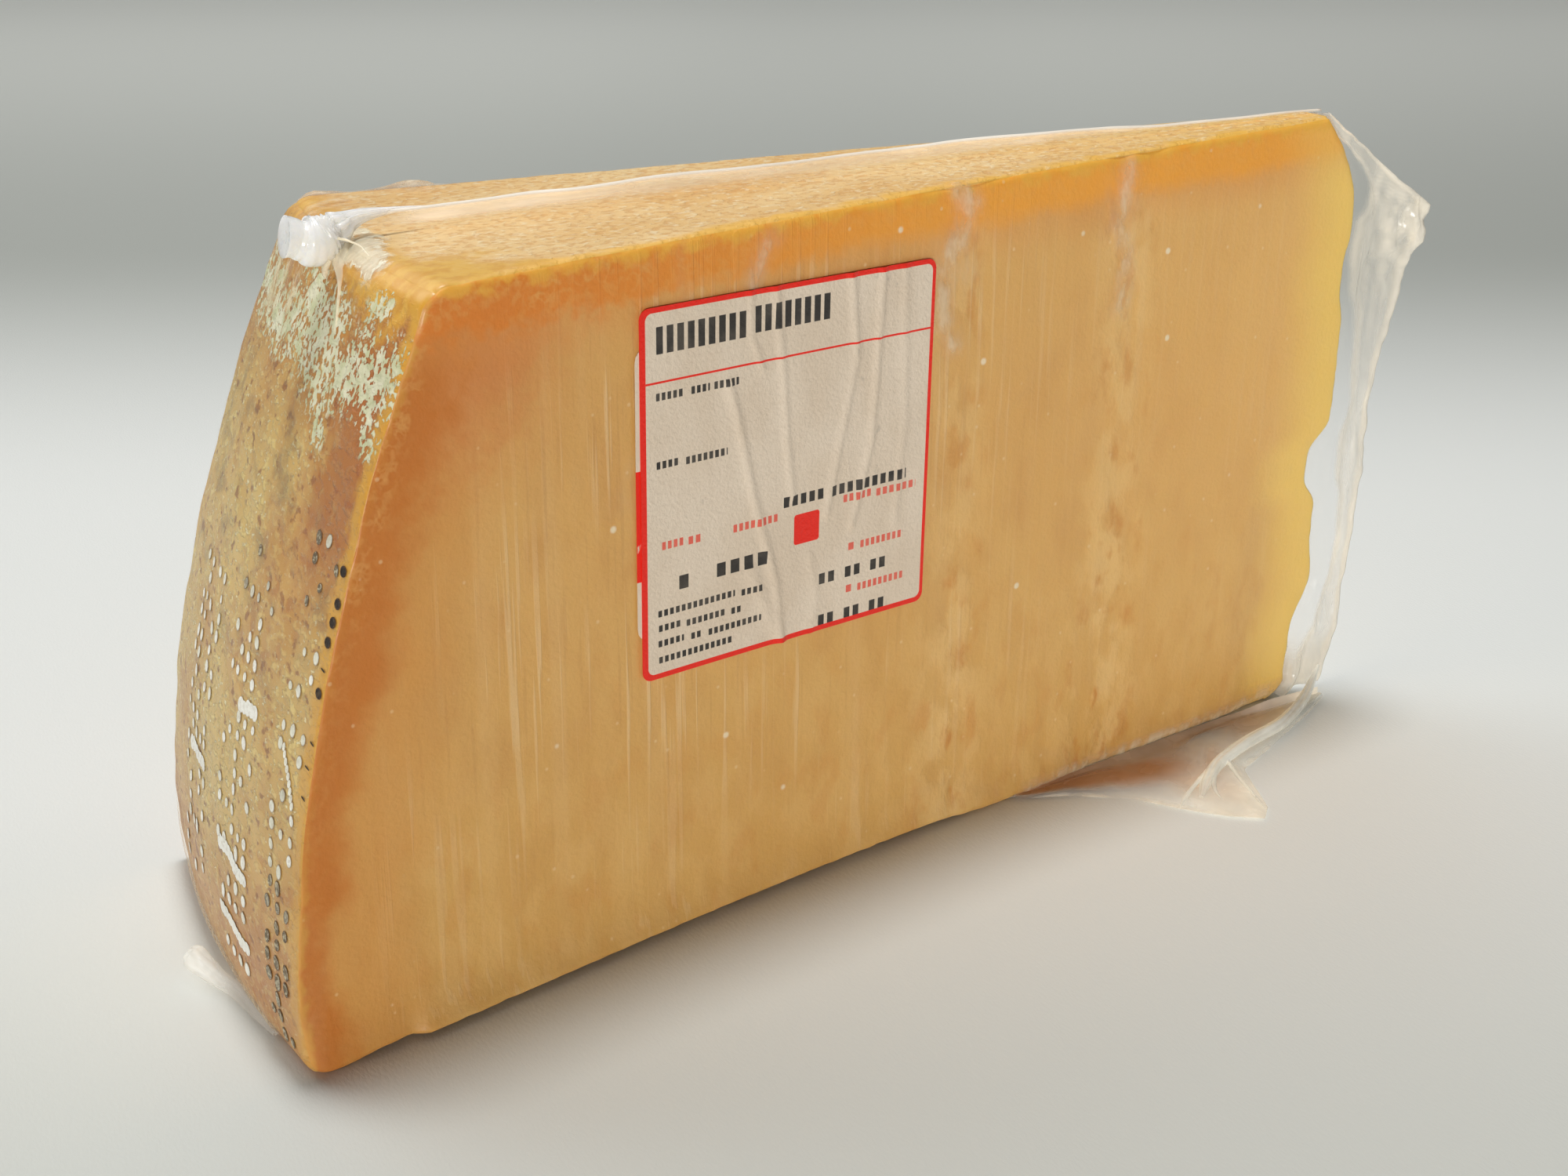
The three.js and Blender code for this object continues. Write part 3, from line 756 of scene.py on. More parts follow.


# ------------------------------------------------------------------------------------------------------------
# The film where it clings to the wedge. One bag of thin clear plastic drawn tight all round, so it shows by
# its gloss, by a pale haze where it is folded double, and by fine folds that run from the knot. Along the
# folds that pale haze is partly a painted highlight, standing in for the film's gloss there.
# ------------------------------------------------------------------------------------------------------------
SKIN_CUTS = ((10, 15), (5, 6), (9, 9))
SKIN_LIFT = 0.2
SKIN_LOWEST = 0.1  # nothing of it lies lower
FOLDS = (  # corners of each fold, width, lift, haze
    (((-30.5, -20.9, 115.2), (-32, -21.1, 113.2), (-33, -21.3, 110.7), (-33.9, -21.4, 108.2)),
     1.0, 0.35, 0.5),
    (((6.5, -14.7, 118.1), (9.7, -14.2, 114.4), (7, -14.5, 109.9), (4.3, -14.9, 105.1), (3.5, -14.9, 97.3),
      (6.2, -14.4, 91.5)), 1.3, 0.4, 0.6),
    (((6, -14.7, 111), (8.6, -14.4, 107), (9.6, -14.3, 103)), 1.4, 0.2, 0.22),
    (((45, -8.9, 116.3), (44, -9, 111.6), (43.7, -8.9, 106.2), (45.8, -8.5, 100.4), (46, -8.4, 94.7),
      (45.1, -8.5, 92)), 1.2, 0.4, 0.55),
    (((43.9, -9, 111), (43.7, -8.9, 106.2)), 2.0, 0.4, 0.3),
    (((-92.0, 31, 112.5), (-93.4, 24.9, 108.2), (-95.6, 26.3, 102.5)), 0.8, 0.5, 0.6),
    (((-91.2, 22.0, 113.5), (-93.7, 19.2, 108.6), (-94.9, 20.3, 105.7), (-96.0, 22.5, 102.8)),
     0.75, 0.5, 0.65),
    (((-92.0, 15.5, 112.5), (-94.0, 14.2, 108.8), (-95.1, 14.0, 106.2), (-96.3, 14.3, 103.5)),
     0.65, 0.45, 0.55),
    (((-92.4, 9.8, 112.5), (-93.8, 9.5, 109.7), (-95.0, 9.0, 107.0)), 0.6, 0.4, 0.4),
    (((-84.7, 35.7, 116.4), (-77.9, 36.3, 116.6), (-72.1, 34, 116.7), (-67.9, 30.5, 116.8)), 1.8, 1.2, 0.6),
    (((-92.2, 18.5, 116.3), (-87.7, 25.3, 116.4), (-83.4, 27.2, 116.5)), 1.6, 0.6, 0.45),
    (((-81, 9, 116.5), (-60, 7, 116.9), (-44.9, 6, 117.2), (-10, 5, 117.6)), 3.0, 0.2, 0.2),
    (((28, -10.0, 0.7), (44, -7.5, 1.0), (60, -5.3, 1.3), (78, -2.9, 1.5), (86, -1.5, 1.7), (95, 0.2, 2.2),
      (103, 1.3, 2.8)), 0.8, 0.2, 0.72),
    (((-118.5, 34, 12), (-119.4, 24, 4), (-119.4, 6, 2.5), (-119.2, -8, 2), (-118.2, -22, 2)),
     2.2, 0.6, 0.45),
)
VEILS = (  # corners of each ragged white veil, width, strength
    (((-90.6, 1.0, 116.0), (-90.0, -5, 116.3), (-90.2, -10, 116.3), (-90.8, -13.5, 116.0)), 3.2, 0.9),
    (((-88.0, 8.0, 116.5), (-87.0, 1.5, 116.5), (-87.6, -5, 116.5)), 2.6, 0.8),
    (((-92.6, -9, 114.8), (-92.4, -14.5, 115.2)), 1.5, 0.8),
)


def line_haze(spots, path, width):
    """1 on a line through corners in space, fading to 0 about a width away."""
    nearest = np.full(len(spots), np.inf)
    for first, last in zip(np.array(path[:-1], float), np.array(path[1:], float)):
        run = last - first
        share = np.clip((spots - first) @ run / (run @ run), 0, 1)
        nearest = np.minimum(nearest, np.linalg.norm(spots - first - share[:, None] * run, axis=1))
    return np.exp(-((nearest / width) ** 2))


skin = ruled_block("film_skin", SKIN_CUTS)
unit = corners_of(skin)
r, across, high = wedge_places(*unit.T, [math.prod(passes) for passes in SKIN_CUTS])
spots = in_wedge(r, across, high)
move_to(skin, wave_foot(spots.copy(), r, across, high))
lift = SKIN_LIFT + 0.08 * wander(r / 13, high / 17, 5 * across)
haze = np.zeros(len(spots))
# Along the folds the haze is partly a painted highlight of the film's gloss.
for path, width, rise, veil in FOLDS:
    crest = line_haze(spots, path, width)
    lift = np.maximum(lift, rise * crest)
    haze = np.maximum(haze, veil * line_haze(spots, path, 1.5 * width))
veil = np.zeros(len(spots))
for path, width, strength in VEILS:
    veil = np.maximum(veil, strength * line_haze(spots, path, width))
push(skin, lift + 0.35 * veil)
spots = corners_of(skin) * 1000
spots[:, 2] = np.maximum(spots[:, 2], SKIN_LOWEST)
move_to(skin, spots)
mark(skin, "haze", haze)
mark(skin, "veil", veil)
pick(skin)
bpy.ops.object.shade_smooth()

# Sharp crooked creases of a size in millimetres, as in crumpled film or paper.
creases, given, gives = new_group(
    "Creases",
    (("Vector", "Vector", (0, 0, 0)), ("Stretch", "Vector", (1, 1, 1)), ("Size", "Float", 6.0),
     ("Sharpness", "Float", 9.0)),
    (("Mask", "Float"),),
)
clouds = put(creases, "TexNoise", {
    "Vector": stretched(creases, given), "Scale": calc(creases, "DIVIDE", 1000.0, given["Size"]),
    "Detail": 2.0, "Distortion": 0.4,
}).outputs["Fac"]
fold = times(creases, calc(creases, "ABSOLUTE", less(creases, clouds, 0.5)), given["Sharpness"])
creases.links.new(most(creases, less(creases, 1.0, fold), 0.0), gives["Mask"])


def creased(tree, size, sharpness, stretch=(1, 1, 1)):
    return mask_of(tree, creases, stretch, {"Size": size, "Sharpness": sharpness})


SHADOW_LOSS = 0.92  # film takes this much less light from its shadow than its milkiness would
# The brown that film is tinted with for painted shadow and painted light bounced off the cheese.
PAINTED_SHADE_AND_BOUNCE = (196, 142, 100)


def film_finish(name, thin, size, folded, stretch=(1, 1, 1), colour=(236, 233, 224), crisp=0.25):
    """Clear film: thin is how much of the light it stops where it is single and flat. The haze attribute says
    where it is folded over and milky, folded how uneven that is, and a second attribute where its colour
    is tinted brown with painted shadow and painted warm light bounced off the cheese."""
    finish, tree, shader = new_finish(name)
    soft = cloudy(tree, size, 0.3, 0.7, stretch, 2.0)
    fold = creased(tree, size, 7.0, stretch)
    uneven = plus(tree, times(tree, soft, folded), 1.0 - folded)
    cover = plus(tree, times(tree, layer_of(tree, "haze"), uneven), thin)
    cover = plus(tree, cover, times(tree, fold, 2.4 * thin * crisp))
    clear = less(tree, 1.0, times(tree, put(tree, "LightPath").outputs["Is Shadow Ray"], SHADOW_LOSS))
    shade = tint(tree, soft, paint(*(0.93 * part for part in colour)), paint(*colour))
    # Painted shadow and bounce light: the film turns brown where the second attribute says.
    shade = tint(tree, layer_of(tree, "painted_shade_and_bounce"), shade, paint(*PAINTED_SHADE_AND_BOUNCE))
    tree.links.new(shade, shader["Base Color"])
    tree.links.new(times(tree, calc(tree, "MINIMUM", cover, 1.0), clear), shader["Alpha"])
    tree.links.new(fade(tree, soft, 0.0, 1.0, 0.14, 0.3), shader["Roughness"])
    tree.links.new(relief_of(tree, fold, crisp), shader["Normal"])
    return finish


cling, tree, shader = new_finish("clinging_film")
veiled = layer_of(tree, "veil")
tatter = plus(tree, veiled, times(tree, cloudy(tree, 2.4, 0.25, 0.75, (1, 1, 1), 6.0), 0.5))
brink = fade(tree, calc(tree, "ABSOLUTE", less(tree, tatter, 0.78)), 0.13, 0.03)
brink = times(tree, brink, fade(tree, veiled, 0.2, 0.5), cloudy(tree, 1.5, 0.4, 0.6))
tatter = most(tree, fade(tree, tatter, 0.5, 1.0, 0.0, 0.6), times(tree, brink, 0.8))
streaky = cloudy(tree, 1.2, 0.3, 0.7, (0.5, 1, 0.3), 3.0)
milky = times(tree, layer_of(tree, "haze"), plus(tree, times(tree, streaky, 0.5), 0.5))
long_folds = times(tree, creased(tree, 46.0, 34.0, (1, 1, 0.8)), cloudy(tree, 30.0, 0.5, 0.7), 0.07)
cover = plus(tree, most(tree, tatter, milky), long_folds, 0.012)
shade = tint(tree, streaky, paint(248, 214, 160), paint(254, 236, 200))
shade = tint(tree, fade(tree, veiled, 0.1, 0.4), shade, paint(252, 252, 230))
tree.links.new(shade, shader["Base Color"])
tree.links.new(calc(tree, "MINIMUM", cover, 1.0), shader["Alpha"])
tree.links.new(fade(tree, streaky, 0.0, 1.0, 0.3, 0.45), shader["Roughness"])
tree.links.new(relief_of(tree, streaky, 0.2), shader["Normal"])
skin.data.materials.append(cling)
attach(skin, "root")


# ------------------------------------------------------------------------------------------------------------
# The older paper label, stuck on the film first. The newer one covers it but for a narrow strip at its left,
# which shows bare paper and part of its red panel.
# ------------------------------------------------------------------------------------------------------------
LABEL_TILT = -0.0117
PAPER = 0.12
OLD_LABEL = {"radius": 153.8, "height": 78.1, "width": 46.0, "tall": 47.0, "corner": 2.0, "lift": 0.42}
OLD_WRINKLES = (((1.0, 0.0), (1.3, 47.0), 0.8, 0.1),)


def paper_sheet(name, size, cuts, wrinkles):
    """A sheet with round corners on the labelled face. Wrinkles are raised lines between two corners, each
    with its width and lift, measured from the sheet's top left corner. The UV map is the sheet itself, from
    its foot."""
    sheet = ruled_block(name, cuts)
    unit = corners_of(sheet)
    flat = unit[:, (0, 2)] * (size["width"], size["tall"])
    core = np.array((size["width"], size["tall"])) / 2 - size["corner"]
    over = np.maximum(np.abs(flat) - core, 0)
    shrink = over.max(1) / np.maximum(np.hypot(*over.T), 1e-9)
    in_corner = (over > 0).all(1)[:, None]
    flat = np.where(in_corner, np.sign(flat) * (core + over * shrink[:, None]), flat)
    from_left, from_top = flat[:, 0] + size["width"] / 2, size["tall"] / 2 - flat[:, 1]
    lift = size["lift"] + (0.5 - unit[:, 1]) * PAPER + 0.04 * wander(from_left / 7, from_top / 16, 3.3)
    for *path, width, rise in wrinkles:
        lift = lift + rise * ridge(from_left, from_top, path, width)
    across = flat[:, 0] * math.cos(LABEL_TILT) - flat[:, 1] * math.sin(LABEL_TILT)
    up = flat[:, 0] * math.sin(LABEL_TILT) + flat[:, 1] * math.cos(LABEL_TILT)
    r, high = size["radius"] - across, size["height"] + up
    spots = labelled_face(r, high)
    spots += lift[:, None] * np.array((math.sin(HALF_ANGLE), -math.cos(HALF_ANGLE), 0))
    move_to(sheet, spots)
    corner_of_loop = np.empty(len(sheet.data.loops), int)
    sheet.data.loops.foreach_get("vertex_index", corner_of_loop)
    shares = flat / (size["width"], size["tall"]) + 0.5
    uv = sheet.data.uv_layers[0]
    uv.name = "sheet"
    uv.uv.foreach_set("vector", shares[corner_of_loop].ravel())
    pick(sheet)
    bpy.ops.object.shade_smooth_by_angle(angle=math.radians(50))
    return sheet


# One printed shape: a bar with round corners, by its middle and half sizes in millimetres on the sheet. A
# pitch and a gap, as a share of it, break the bar into even blocks.
bar, given, gives = new_group(
    "Bar",
    (("Place", "Vector", (0, 0, 0)), ("Middle", "Vector", (0, 0, 0)), ("Half", "Vector", (5, 1, 0)),
     ("Round", "Float", 0.5), ("Pitch", "Float", 1.0), ("Gap", "Float", 0.0)),
    (("Mask", "Float"),),
)
away = put(bar, "VectorMath", {0: given["Place"], 1: given["Middle"]}, operation="SUBTRACT").outputs[0]
from_end = put(bar, "VectorMath", {0: away, 1: given["Half"]}).outputs[0]
from_left = put(bar, "SeparateXYZ", {0: from_end}).outputs[0]
block = calc(bar, "FRACT", calc(bar, "DIVIDE", from_left, given["Pitch"]))
blocks = calc(bar, "GREATER_THAN", less(bar, 1.0, given["Gap"]), block)
away = put(bar, "VectorMath", {0: away}, operation="ABSOLUTE").outputs[0]
core = put(bar, "CombineXYZ", {0: given["Round"], 1: given["Round"]}).outputs[0]
core = put(bar, "VectorMath", {0: given["Half"], 1: core}, operation="SUBTRACT").outputs[0]
beyond = put(bar, "VectorMath", {0: away, 1: core}, operation="SUBTRACT").outputs[0]
beyond = put(bar, "VectorMath", {0: beyond, 1: (0, 0, 0)}, operation="MAXIMUM").outputs[0]
reach = put(bar, "VectorMath", {0: beyond}, operation="LENGTH").outputs["Value"]
inked = fade(bar, less(bar, reach, given["Round"]), 0.05, -0.05)
bar.links.new(times(bar, inked, blocks), gives["Mask"])


def sheet_place(tree, size):
    """The place on a sheet in millimetres from its left foot corner."""
    uv = put(tree, "UVMap", uv_map="sheet").outputs["UV"]
    whole = (size["width"], size["tall"], 0)
    return put(tree, "VectorMath", {0: uv, 1: whole}, operation="MULTIPLY").outputs[0]


def printed(tree, place, size, left, right, from_top, tall, rounding, pitch=1.0, gap=0.0):
    """A bar's mask, from its ends and its middle line measured from the sheet's top left corner."""
    sockets = {
        "Place": place, "Middle": ((left + right) / 2, size["tall"] - from_top, 0),
        "Half": ((right - left) / 2, tall / 2, 1), "Round": rounding, "Pitch": pitch, "Gap": gap,
    }
    return put(tree, "Group", sockets, node_tree=bar).outputs["Mask"]


def paper_colour(tree):
    """Greyish label stock with faint cloudy fibres and grease."""
    colour = tint(tree, cloudy(tree, 9.0, 0.3, 0.7, (1, 1, 0.6)), paint(232, 212, 188), paint(240, 222, 200))
    return tint(tree, times(tree, cloudy(tree, 0.8, 0.45, 0.75), 0.2), colour, paint(214, 192, 166))


RED_INK = (248, 30, 0)
OLD_PANEL = (-2, 44, 28.0, 18.0, 0.2)

old_label = paper_sheet("label_under", OLD_LABEL, ((6, 7), (1,), (6, 7)), OLD_WRINKLES)
old_paper, tree, shader = new_finish("old_label_paper", {"Roughness": 0.55})
scuffs = cloudy(tree, 1.6, 0.62, 0.7, (1, 1, 0.4), 4.0)
panel = printed(tree, sheet_place(tree, OLD_LABEL), OLD_LABEL, *OLD_PANEL)
panel = times(tree, panel, less(tree, 1.0, scuffs))
tree.links.new(tint(tree, panel, paper_colour(tree), paint(*RED_INK)), shader["Base Color"])
tree.links.new(relief_of(tree, cloudy(tree, 0.5), 0.03), shader["Normal"])
old_label.data.materials.append(old_paper)
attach(old_label, "root")
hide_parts("label_under")


# ------------------------------------------------------------------------------------------------------------
# The newer paper label: a shop's scale label with a red frame and a red rule, softly wrinkled where the film
# under it drew in. Its print is plain: black bars for the lines of words and figures, red bars for the
# headings, and a plain red square.
# ------------------------------------------------------------------------------------------------------------
LABEL = {"radius": 147.1, "height": 77.4, "width": 58.0, "tall": 60.0, "corner": 1.7, "lift": 0.62}
WRINKLES = (
    ((16.5, 14.0), (18.4, 20.7), (21.3, 33.3), (26.0, 48.9), (27.3, 60.0), 0.8, 0.42),
    ((25.3, 0.0), (27.1, 14.6), (27.9, 25.3), (29.2, 35.0), 0.7, 0.34),
    ((40.4, 0.0), (41.9, 13.8), (39.4, 25.1), (36.3, 39.4), 0.75, 0.42),
    ((46.9, 0.0), (46.5, 9.9), (46.0, 19.2), (45.4, 28.7), (41.7, 42.6), 0.7, 0.44),
    ((20.5, 0.0), (20.8, 7.3), (23.0, 13.0), 0.6, 0.28),
    ((27.3, 60.0), (25.0, 55.0), (21.0, 46.0), 1.2, 0.26),
    ((51.5, 0.0), (52.5, 26.0), (51.0, 44.0), 0.8, 0.24),
    ((33.0, 46.0), (34.5, 54.0), (33.5, 60.0), 0.8, 0.2),
)
BLACK_BARS = (  # left end, right end, middle line from the top, height, pitch of its blocks
    (3.0, 19.9, 5.1, 4.2, 1.93), (21.4, 36.4, 4.7, 4.2, 1.93),
    (2.9, 8.0, 13.8, 1.2, 1.05), (9.4, 12.9, 13.8, 1.2, 1.05), (13.7, 18.4, 13.8, 1.2, 1.05),
    (2.9, 6.9, 24.6, 1.2, 1.1), (8.4, 16.3, 24.8, 1.2, 1.1),
    (27.5, 36.0, 35.8, 1.8, 1.75), (37.2, 53.2, 35.8, 1.8, 1.75),
    (7.0, 9.8, 44.6, 2.3, 2.8), (14.3, 25.0, 44.3, 2.3, 2.7),
    (3.0, 17.9, 49.0, 1.1, 1.12), (19.2, 23.7, 49.3, 1.1, 1.12),
    (3.1, 7.3, 51.5, 1.1, 1.12), (8.4, 15.9, 51.8, 1.1, 1.12), (17.2, 19.2, 52.0, 1.1, 1.12),
    (3.0, 7.9, 54.1, 1.1, 1.12), (9.3, 11.5, 54.3, 1.1, 1.12), (12.7, 23.2, 54.5, 1.1, 1.12),
    (3.1, 17.4, 56.9, 1.1, 1.12),
    (35.1, 39.0, 50.8, 1.9, 1.95), (40.6, 44.5, 50.8, 1.9, 1.95), (46.1, 50.0, 50.8, 1.9, 1.95),
    (35.1, 39.0, 58.2, 1.9, 1.95), (40.6, 44.5, 58.2, 1.9, 1.95), (46.1, 50.0, 58.2, 1.9, 1.95),
)
RED_BARS = (
    (39.9, 46.0, 37.7, 1.3, 1.25), (46.9, 55.4, 38.0, 1.3, 1.4),
    (3.8, 8.1, 37.8, 1.3, 1.1), (8.8, 11.6, 38.0, 1.3, 1.4), (17.5, 26.5, 38.0, 1.3, 1.15),
    (41.2, 43.0, 46.4, 1.3, 1.8), (43.8, 53.0, 46.5, 1.3, 1.15), (40.9, 42.6, 53.9, 1.3, 1.8),
    (43.4, 53.3, 54.1, 1.3, 1.15),
)
RED_SQUARE = (29.7, 34.9, 41.0, 5.2, 0.5)
RED_RULE = (1.0, 57.5, 11.55, 0.34, 0.1)
FRAME_WINDOW = (1.05, 57.3, 29.95, 58.3, 1.2)
BAR_CORNER = 0.15
GAP = 0.36

label = paper_sheet("label", LABEL, ((10, 12), (1,), (10, 12)), WRINKLES)
paper, tree, shader = new_finish("label_paper", {"Coat Weight": 0.15, "Coat Roughness": 0.3})
place = sheet_place(tree, LABEL)
smudge = cloudy(tree, 2.4, 0.66, 0.8, (1, 1, 0.7), 4.0)
colour = tint(tree, times(tree, smudge, 0.35), paper_colour(tree), paint(150, 140, 128))
uneven = plus(tree, times(tree, cloudy(tree, 5.0, 0.35, 0.6), 0.06), 0.94)
for bars, ink, strength in ((RED_BARS, paint(240, 60, 30), 0.85), (BLACK_BARS, paint(24, 22, 22), 0.97)):
    print_mask = 0.0
    for left, right, from_top, tall, pitch in bars:
        one = printed(tree, place, LABEL, left, right, from_top, tall, BAR_CORNER, pitch, GAP)
        print_mask = most(tree, one, print_mask)
    colour = tint(tree, times(tree, print_mask, uneven, strength), colour, ink)
frame_mask = less(tree, 1.0, printed(tree, place, LABEL, *FRAME_WINDOW))
for shape in (RED_RULE, RED_SQUARE):
    frame_mask = most(tree, frame_mask, printed(tree, place, LABEL, *shape))
colour = tint(tree, frame_mask, colour, paint(*RED_INK))
grain = plus(tree, cloudy(tree, 0.6), times(tree, creased(tree, 9.0, 6.0, (1, 1, 0.3)), 1.2))
tree.links.new(colour, shader["Base Color"])
tree.links.new(fade(tree, print_mask, 0.0, 1.0, 0.45, 0.6), shader["Roughness"])
tree.links.new(relief_of(tree, grain, 0.05), shader["Normal"])
label.data.materials.append(paper)
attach(label, "root")
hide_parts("label")


# ------------------------------------------------------------------------------------------------------------
# The film's welded seam. The two halves of the bag were melted together along the middle of the top, which
# leaves a thin standing fin with a round white bead along its crest. The bead's white is partly a painted
# highlight along the crest.
# ------------------------------------------------------------------------------------------------------------
SEAM = {"from": 203.0, "to": 21.6, "tall": 3.2, "thin": 0.12, "bead": 0.42}

seam = ruled_block("film_seam", ((14, 16), (2,), (12,)))
unit = corners_of(seam)
r = SEAM["from"] + (SEAM["to"] - SEAM["from"]) * (unit[:, 0] + 0.5)
up = unit[:, 2] + 0.5
tall = SEAM["tall"] * (0.22 + 0.78 * smooth(r, SEAM["to"], 120)) + 0.35 * wander(r / 14, 0.5, 0)
sway = up * (0.8 * wander(r / 22, 5.2, 0) + 0.25 * wander(r / 5, 1.1, up)) - 0.8 * up * smooth(r, 170, 203)
bead = np.sqrt(np.clip(1 - ((1 - up) * tall / SEAM["bead"] - 1) ** 2, 0, 1)) * SEAM["bead"]
half = np.maximum(SEAM["thin"] / 2, bead) + 0.12 * (1 - up) ** 6
spread = np.where(np.abs(unit[:, 1]) < 0.1, 0.0, np.sign(unit[:, 1]))
middle = AXIS[1] + spread * half + sway
move_to(seam, np.stack([AXIS[0] - r, middle, top_height(r) + 0.3 + up * tall], axis=-1))
# The crest's milky white is partly a painted highlight.
crest = smooth(up, 1 - 1.3 * SEAM["bead"] / tall, 1 - 0.5 * SEAM["bead"] / tall)
milky = 0.26 + 0.22 * smooth(wander(r / 9, 3 * up, 7.1), 0.0, 0.6)
milky += 0.2 * smooth(r, 150, 195) + 0.2 * smooth(70 - r, 0, 35)
milky *= smooth(203 - r, 0.5, 9) * smooth(up * tall, 0.3, 1.6)
mark(seam, "haze", np.clip(milky + 0.8 * crest, 0, 1))
pick(seam)
bpy.ops.object.shade_smooth()
seam.data.materials.append(film_finish("seam_film", 0.004, 6.0, 0.1, (0.2, 1, 1), (254, 246, 232), 0.05))
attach(seam, "root")
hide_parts("film_seam")


# ------------------------------------------------------------------------------------------------------------
# The knot at the top of the rind, where the bag's mouth was gathered into pleats, twisted and shrunk: a white
# rope of film that swells and ends in a flared disc.
# ------------------------------------------------------------------------------------------------------------
KNOT = (  # x, y, z, radius
    (-76.5, 2.0, 120.0, 0.05), (-81.0, 1.8, 120.0, 0.4), (-85.1, 1.4, 119.9, 0.8), (-87.7, 0.9, 119.7, 1.2),
    (-89.8, 0.4, 119.2, 1.75), (-91.2, -0.2, 118.7, 2.5), (-92.6, -0.4, 118.2, 3.0),
    (-94.6, -1.0, 117.4, 3.65), (-96.2, -1.2, 117.3, 3.75), (-97.2, -1.2, 117.5, 3.05),
    (-97.9, -1.2, 117.8, 2.85), (-98.8, -1.2, 118.2, 2.95), (-99.7, -1.2, 118.4, 3.1),
)


def smooth_line(stations, share):
    """Points on a smooth curve through the stations, at each share of the way along."""
    stations = np.array(stations, float)
    ends = np.vstack([2 * stations[0] - stations[1], stations, 2 * stations[-1] - stations[-2]])
    place = np.clip(share, 0, 1) * (len(stations) - 1)
    first = np.minimum(place.astype(int), len(stations) - 2)
    part = (place - first)[:, None]
    a, b, c, d = (ends[first + step] for step in range(4))
    bent = (3 * b - a - 3 * c + d) * part ** 3
    return 0.5 * (2 * b + (c - a) * part + (2 * a - 5 * b + 4 * c - d) * part ** 2 + bent)


def line_frame(stations, share):
    """The curve's points with their fourth value, and the ways to its side and above it."""
    line = smooth_line(stations, share)
    ahead = smooth_line(stations, share + 0.02)[:, :3] - smooth_line(stations, share - 0.02)[:, :3]
    side = np.cross(ahead, (0, 0, 1.0))
    side /= np.linalg.norm(side, axis=1)[:, None]
    over = np.cross(side, ahead)
    over /= np.linalg.norm(over, axis=1)[:, None]
    return line[:, :3], line[:, 3], side, over


def rope(name, stations, sides, passes, pleats, deep, twist, cup=0.0, rings=0.0):
    """Gathered film along a line of stations: a cylinder ruled along its length, its wall folded into pleats
    that turn round it, its ends cupped inwards. With rings, the pleats give way to folds round it and a
    smooth end."""
    bpy.ops.object.select_all(action="DESELECT")
    bpy.ops.mesh.primitive_cylinder_add(
        vertices=sides, radius=1, depth=1, end_fill_type="TRIFAN", location=(0, 0, 0))
    piece = bpy.context.object
    piece.name = piece.data.name = name
    bpy.ops.object.mode_set(mode="EDIT")
    bpy.ops.mesh.select_mode(type="EDGE")
    for steps in passes:
        bpy.ops.mesh.select_all(action="DESELECT")
        rules = bmesh.from_edit_mesh(piece.data)
        for edge in rules.edges:
            edge.select_set(abs(edge.verts[0].co.z - edge.verts[1].co.z) > 1e-6)
        bmesh.update_edit_mesh(piece.data)
        bpy.ops.mesh.subdivide(number_cuts=steps - 1)
    bpy.ops.object.mode_set(mode="OBJECT")
    unit = corners_of(piece)
    share = 0.5 - unit[:, 2]
    angle = np.arctan2(unit[:, 0], unit[:, 1])
    rim = np.hypot(unit[:, 0], unit[:, 1])
    share = np.where(rim < 0.5, np.clip(share, cup, 1 - cup), share)
    middle, girth, side, over = line_frame(stations, share)
    turned = smooth(share, 0.45, 0.62) if rings else 0.0
    wound = 0.5 * (pleats * angle + twist * share) * (1 - turned) + rings * share * turned
    fold = np.abs(np.sin(wound + 0.7 * wander(share * 5, np.sin(angle), np.cos(angle))))
    if rings:
        deep = deep * (1 - 0.85 * turned) * smooth(0.93 - share, 0, 0.12)
    reach = (rim * girth * (1 - deep * (1 - fold)))[:, None]
    move_to(piece, middle + reach * (side * np.sin(angle)[:, None] + over * np.cos(angle)[:, None]))
    bpy.ops.object.mode_set(mode="EDIT")
    bpy.ops.mesh.select_all(action="SELECT")
    bpy.ops.mesh.normals_make_consistent(inside=False)
    bpy.ops.object.mode_set(mode="OBJECT")
    bpy.ops.object.shade_smooth_by_angle(angle=math.radians(60))
    return piece


def gathered_finish(name, colour):
    """Film gathered so thick that it is white, with fine pleat lines in painted shade and a soft shine."""
    finish, tree, shader = new_finish(name, {
        "Coat Weight": 0.5, "Coat Roughness": 0.1, "Subsurface Weight": 0.9,
        "Subsurface Radius": (1.0, 0.92, 0.8), "Subsurface Scale": 0.005,
    })
    lines = creased(tree, 2.4, 8.0)
    shade = tint(tree, cloudy(tree, 2.2, 0.35, 0.65), paint(*colour), paint(250, 248, 244))
    # Painted shade: the crease lines are laid a little darker.
    shade = tint(tree, times(tree, lines, 0.15), shade, paint(234, 230, 222))
    tree.links.new(shade, shader["Base Color"])
    tree.links.new(fade(tree, lines, 0.0, 1.0, 0.25, 0.4), shader["Roughness"])
    tree.links.new(relief_of(tree, lines, 0.02), shader["Normal"])
    return finish


knot = rope("film_neck", KNOT, 96, (10, 12), 9, 0.34, 3.0, 0.05, 34.0)
knot.data.materials.append(gathered_finish("knotted_film", (252, 248, 241)))
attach(knot, "root")
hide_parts("film_neck")

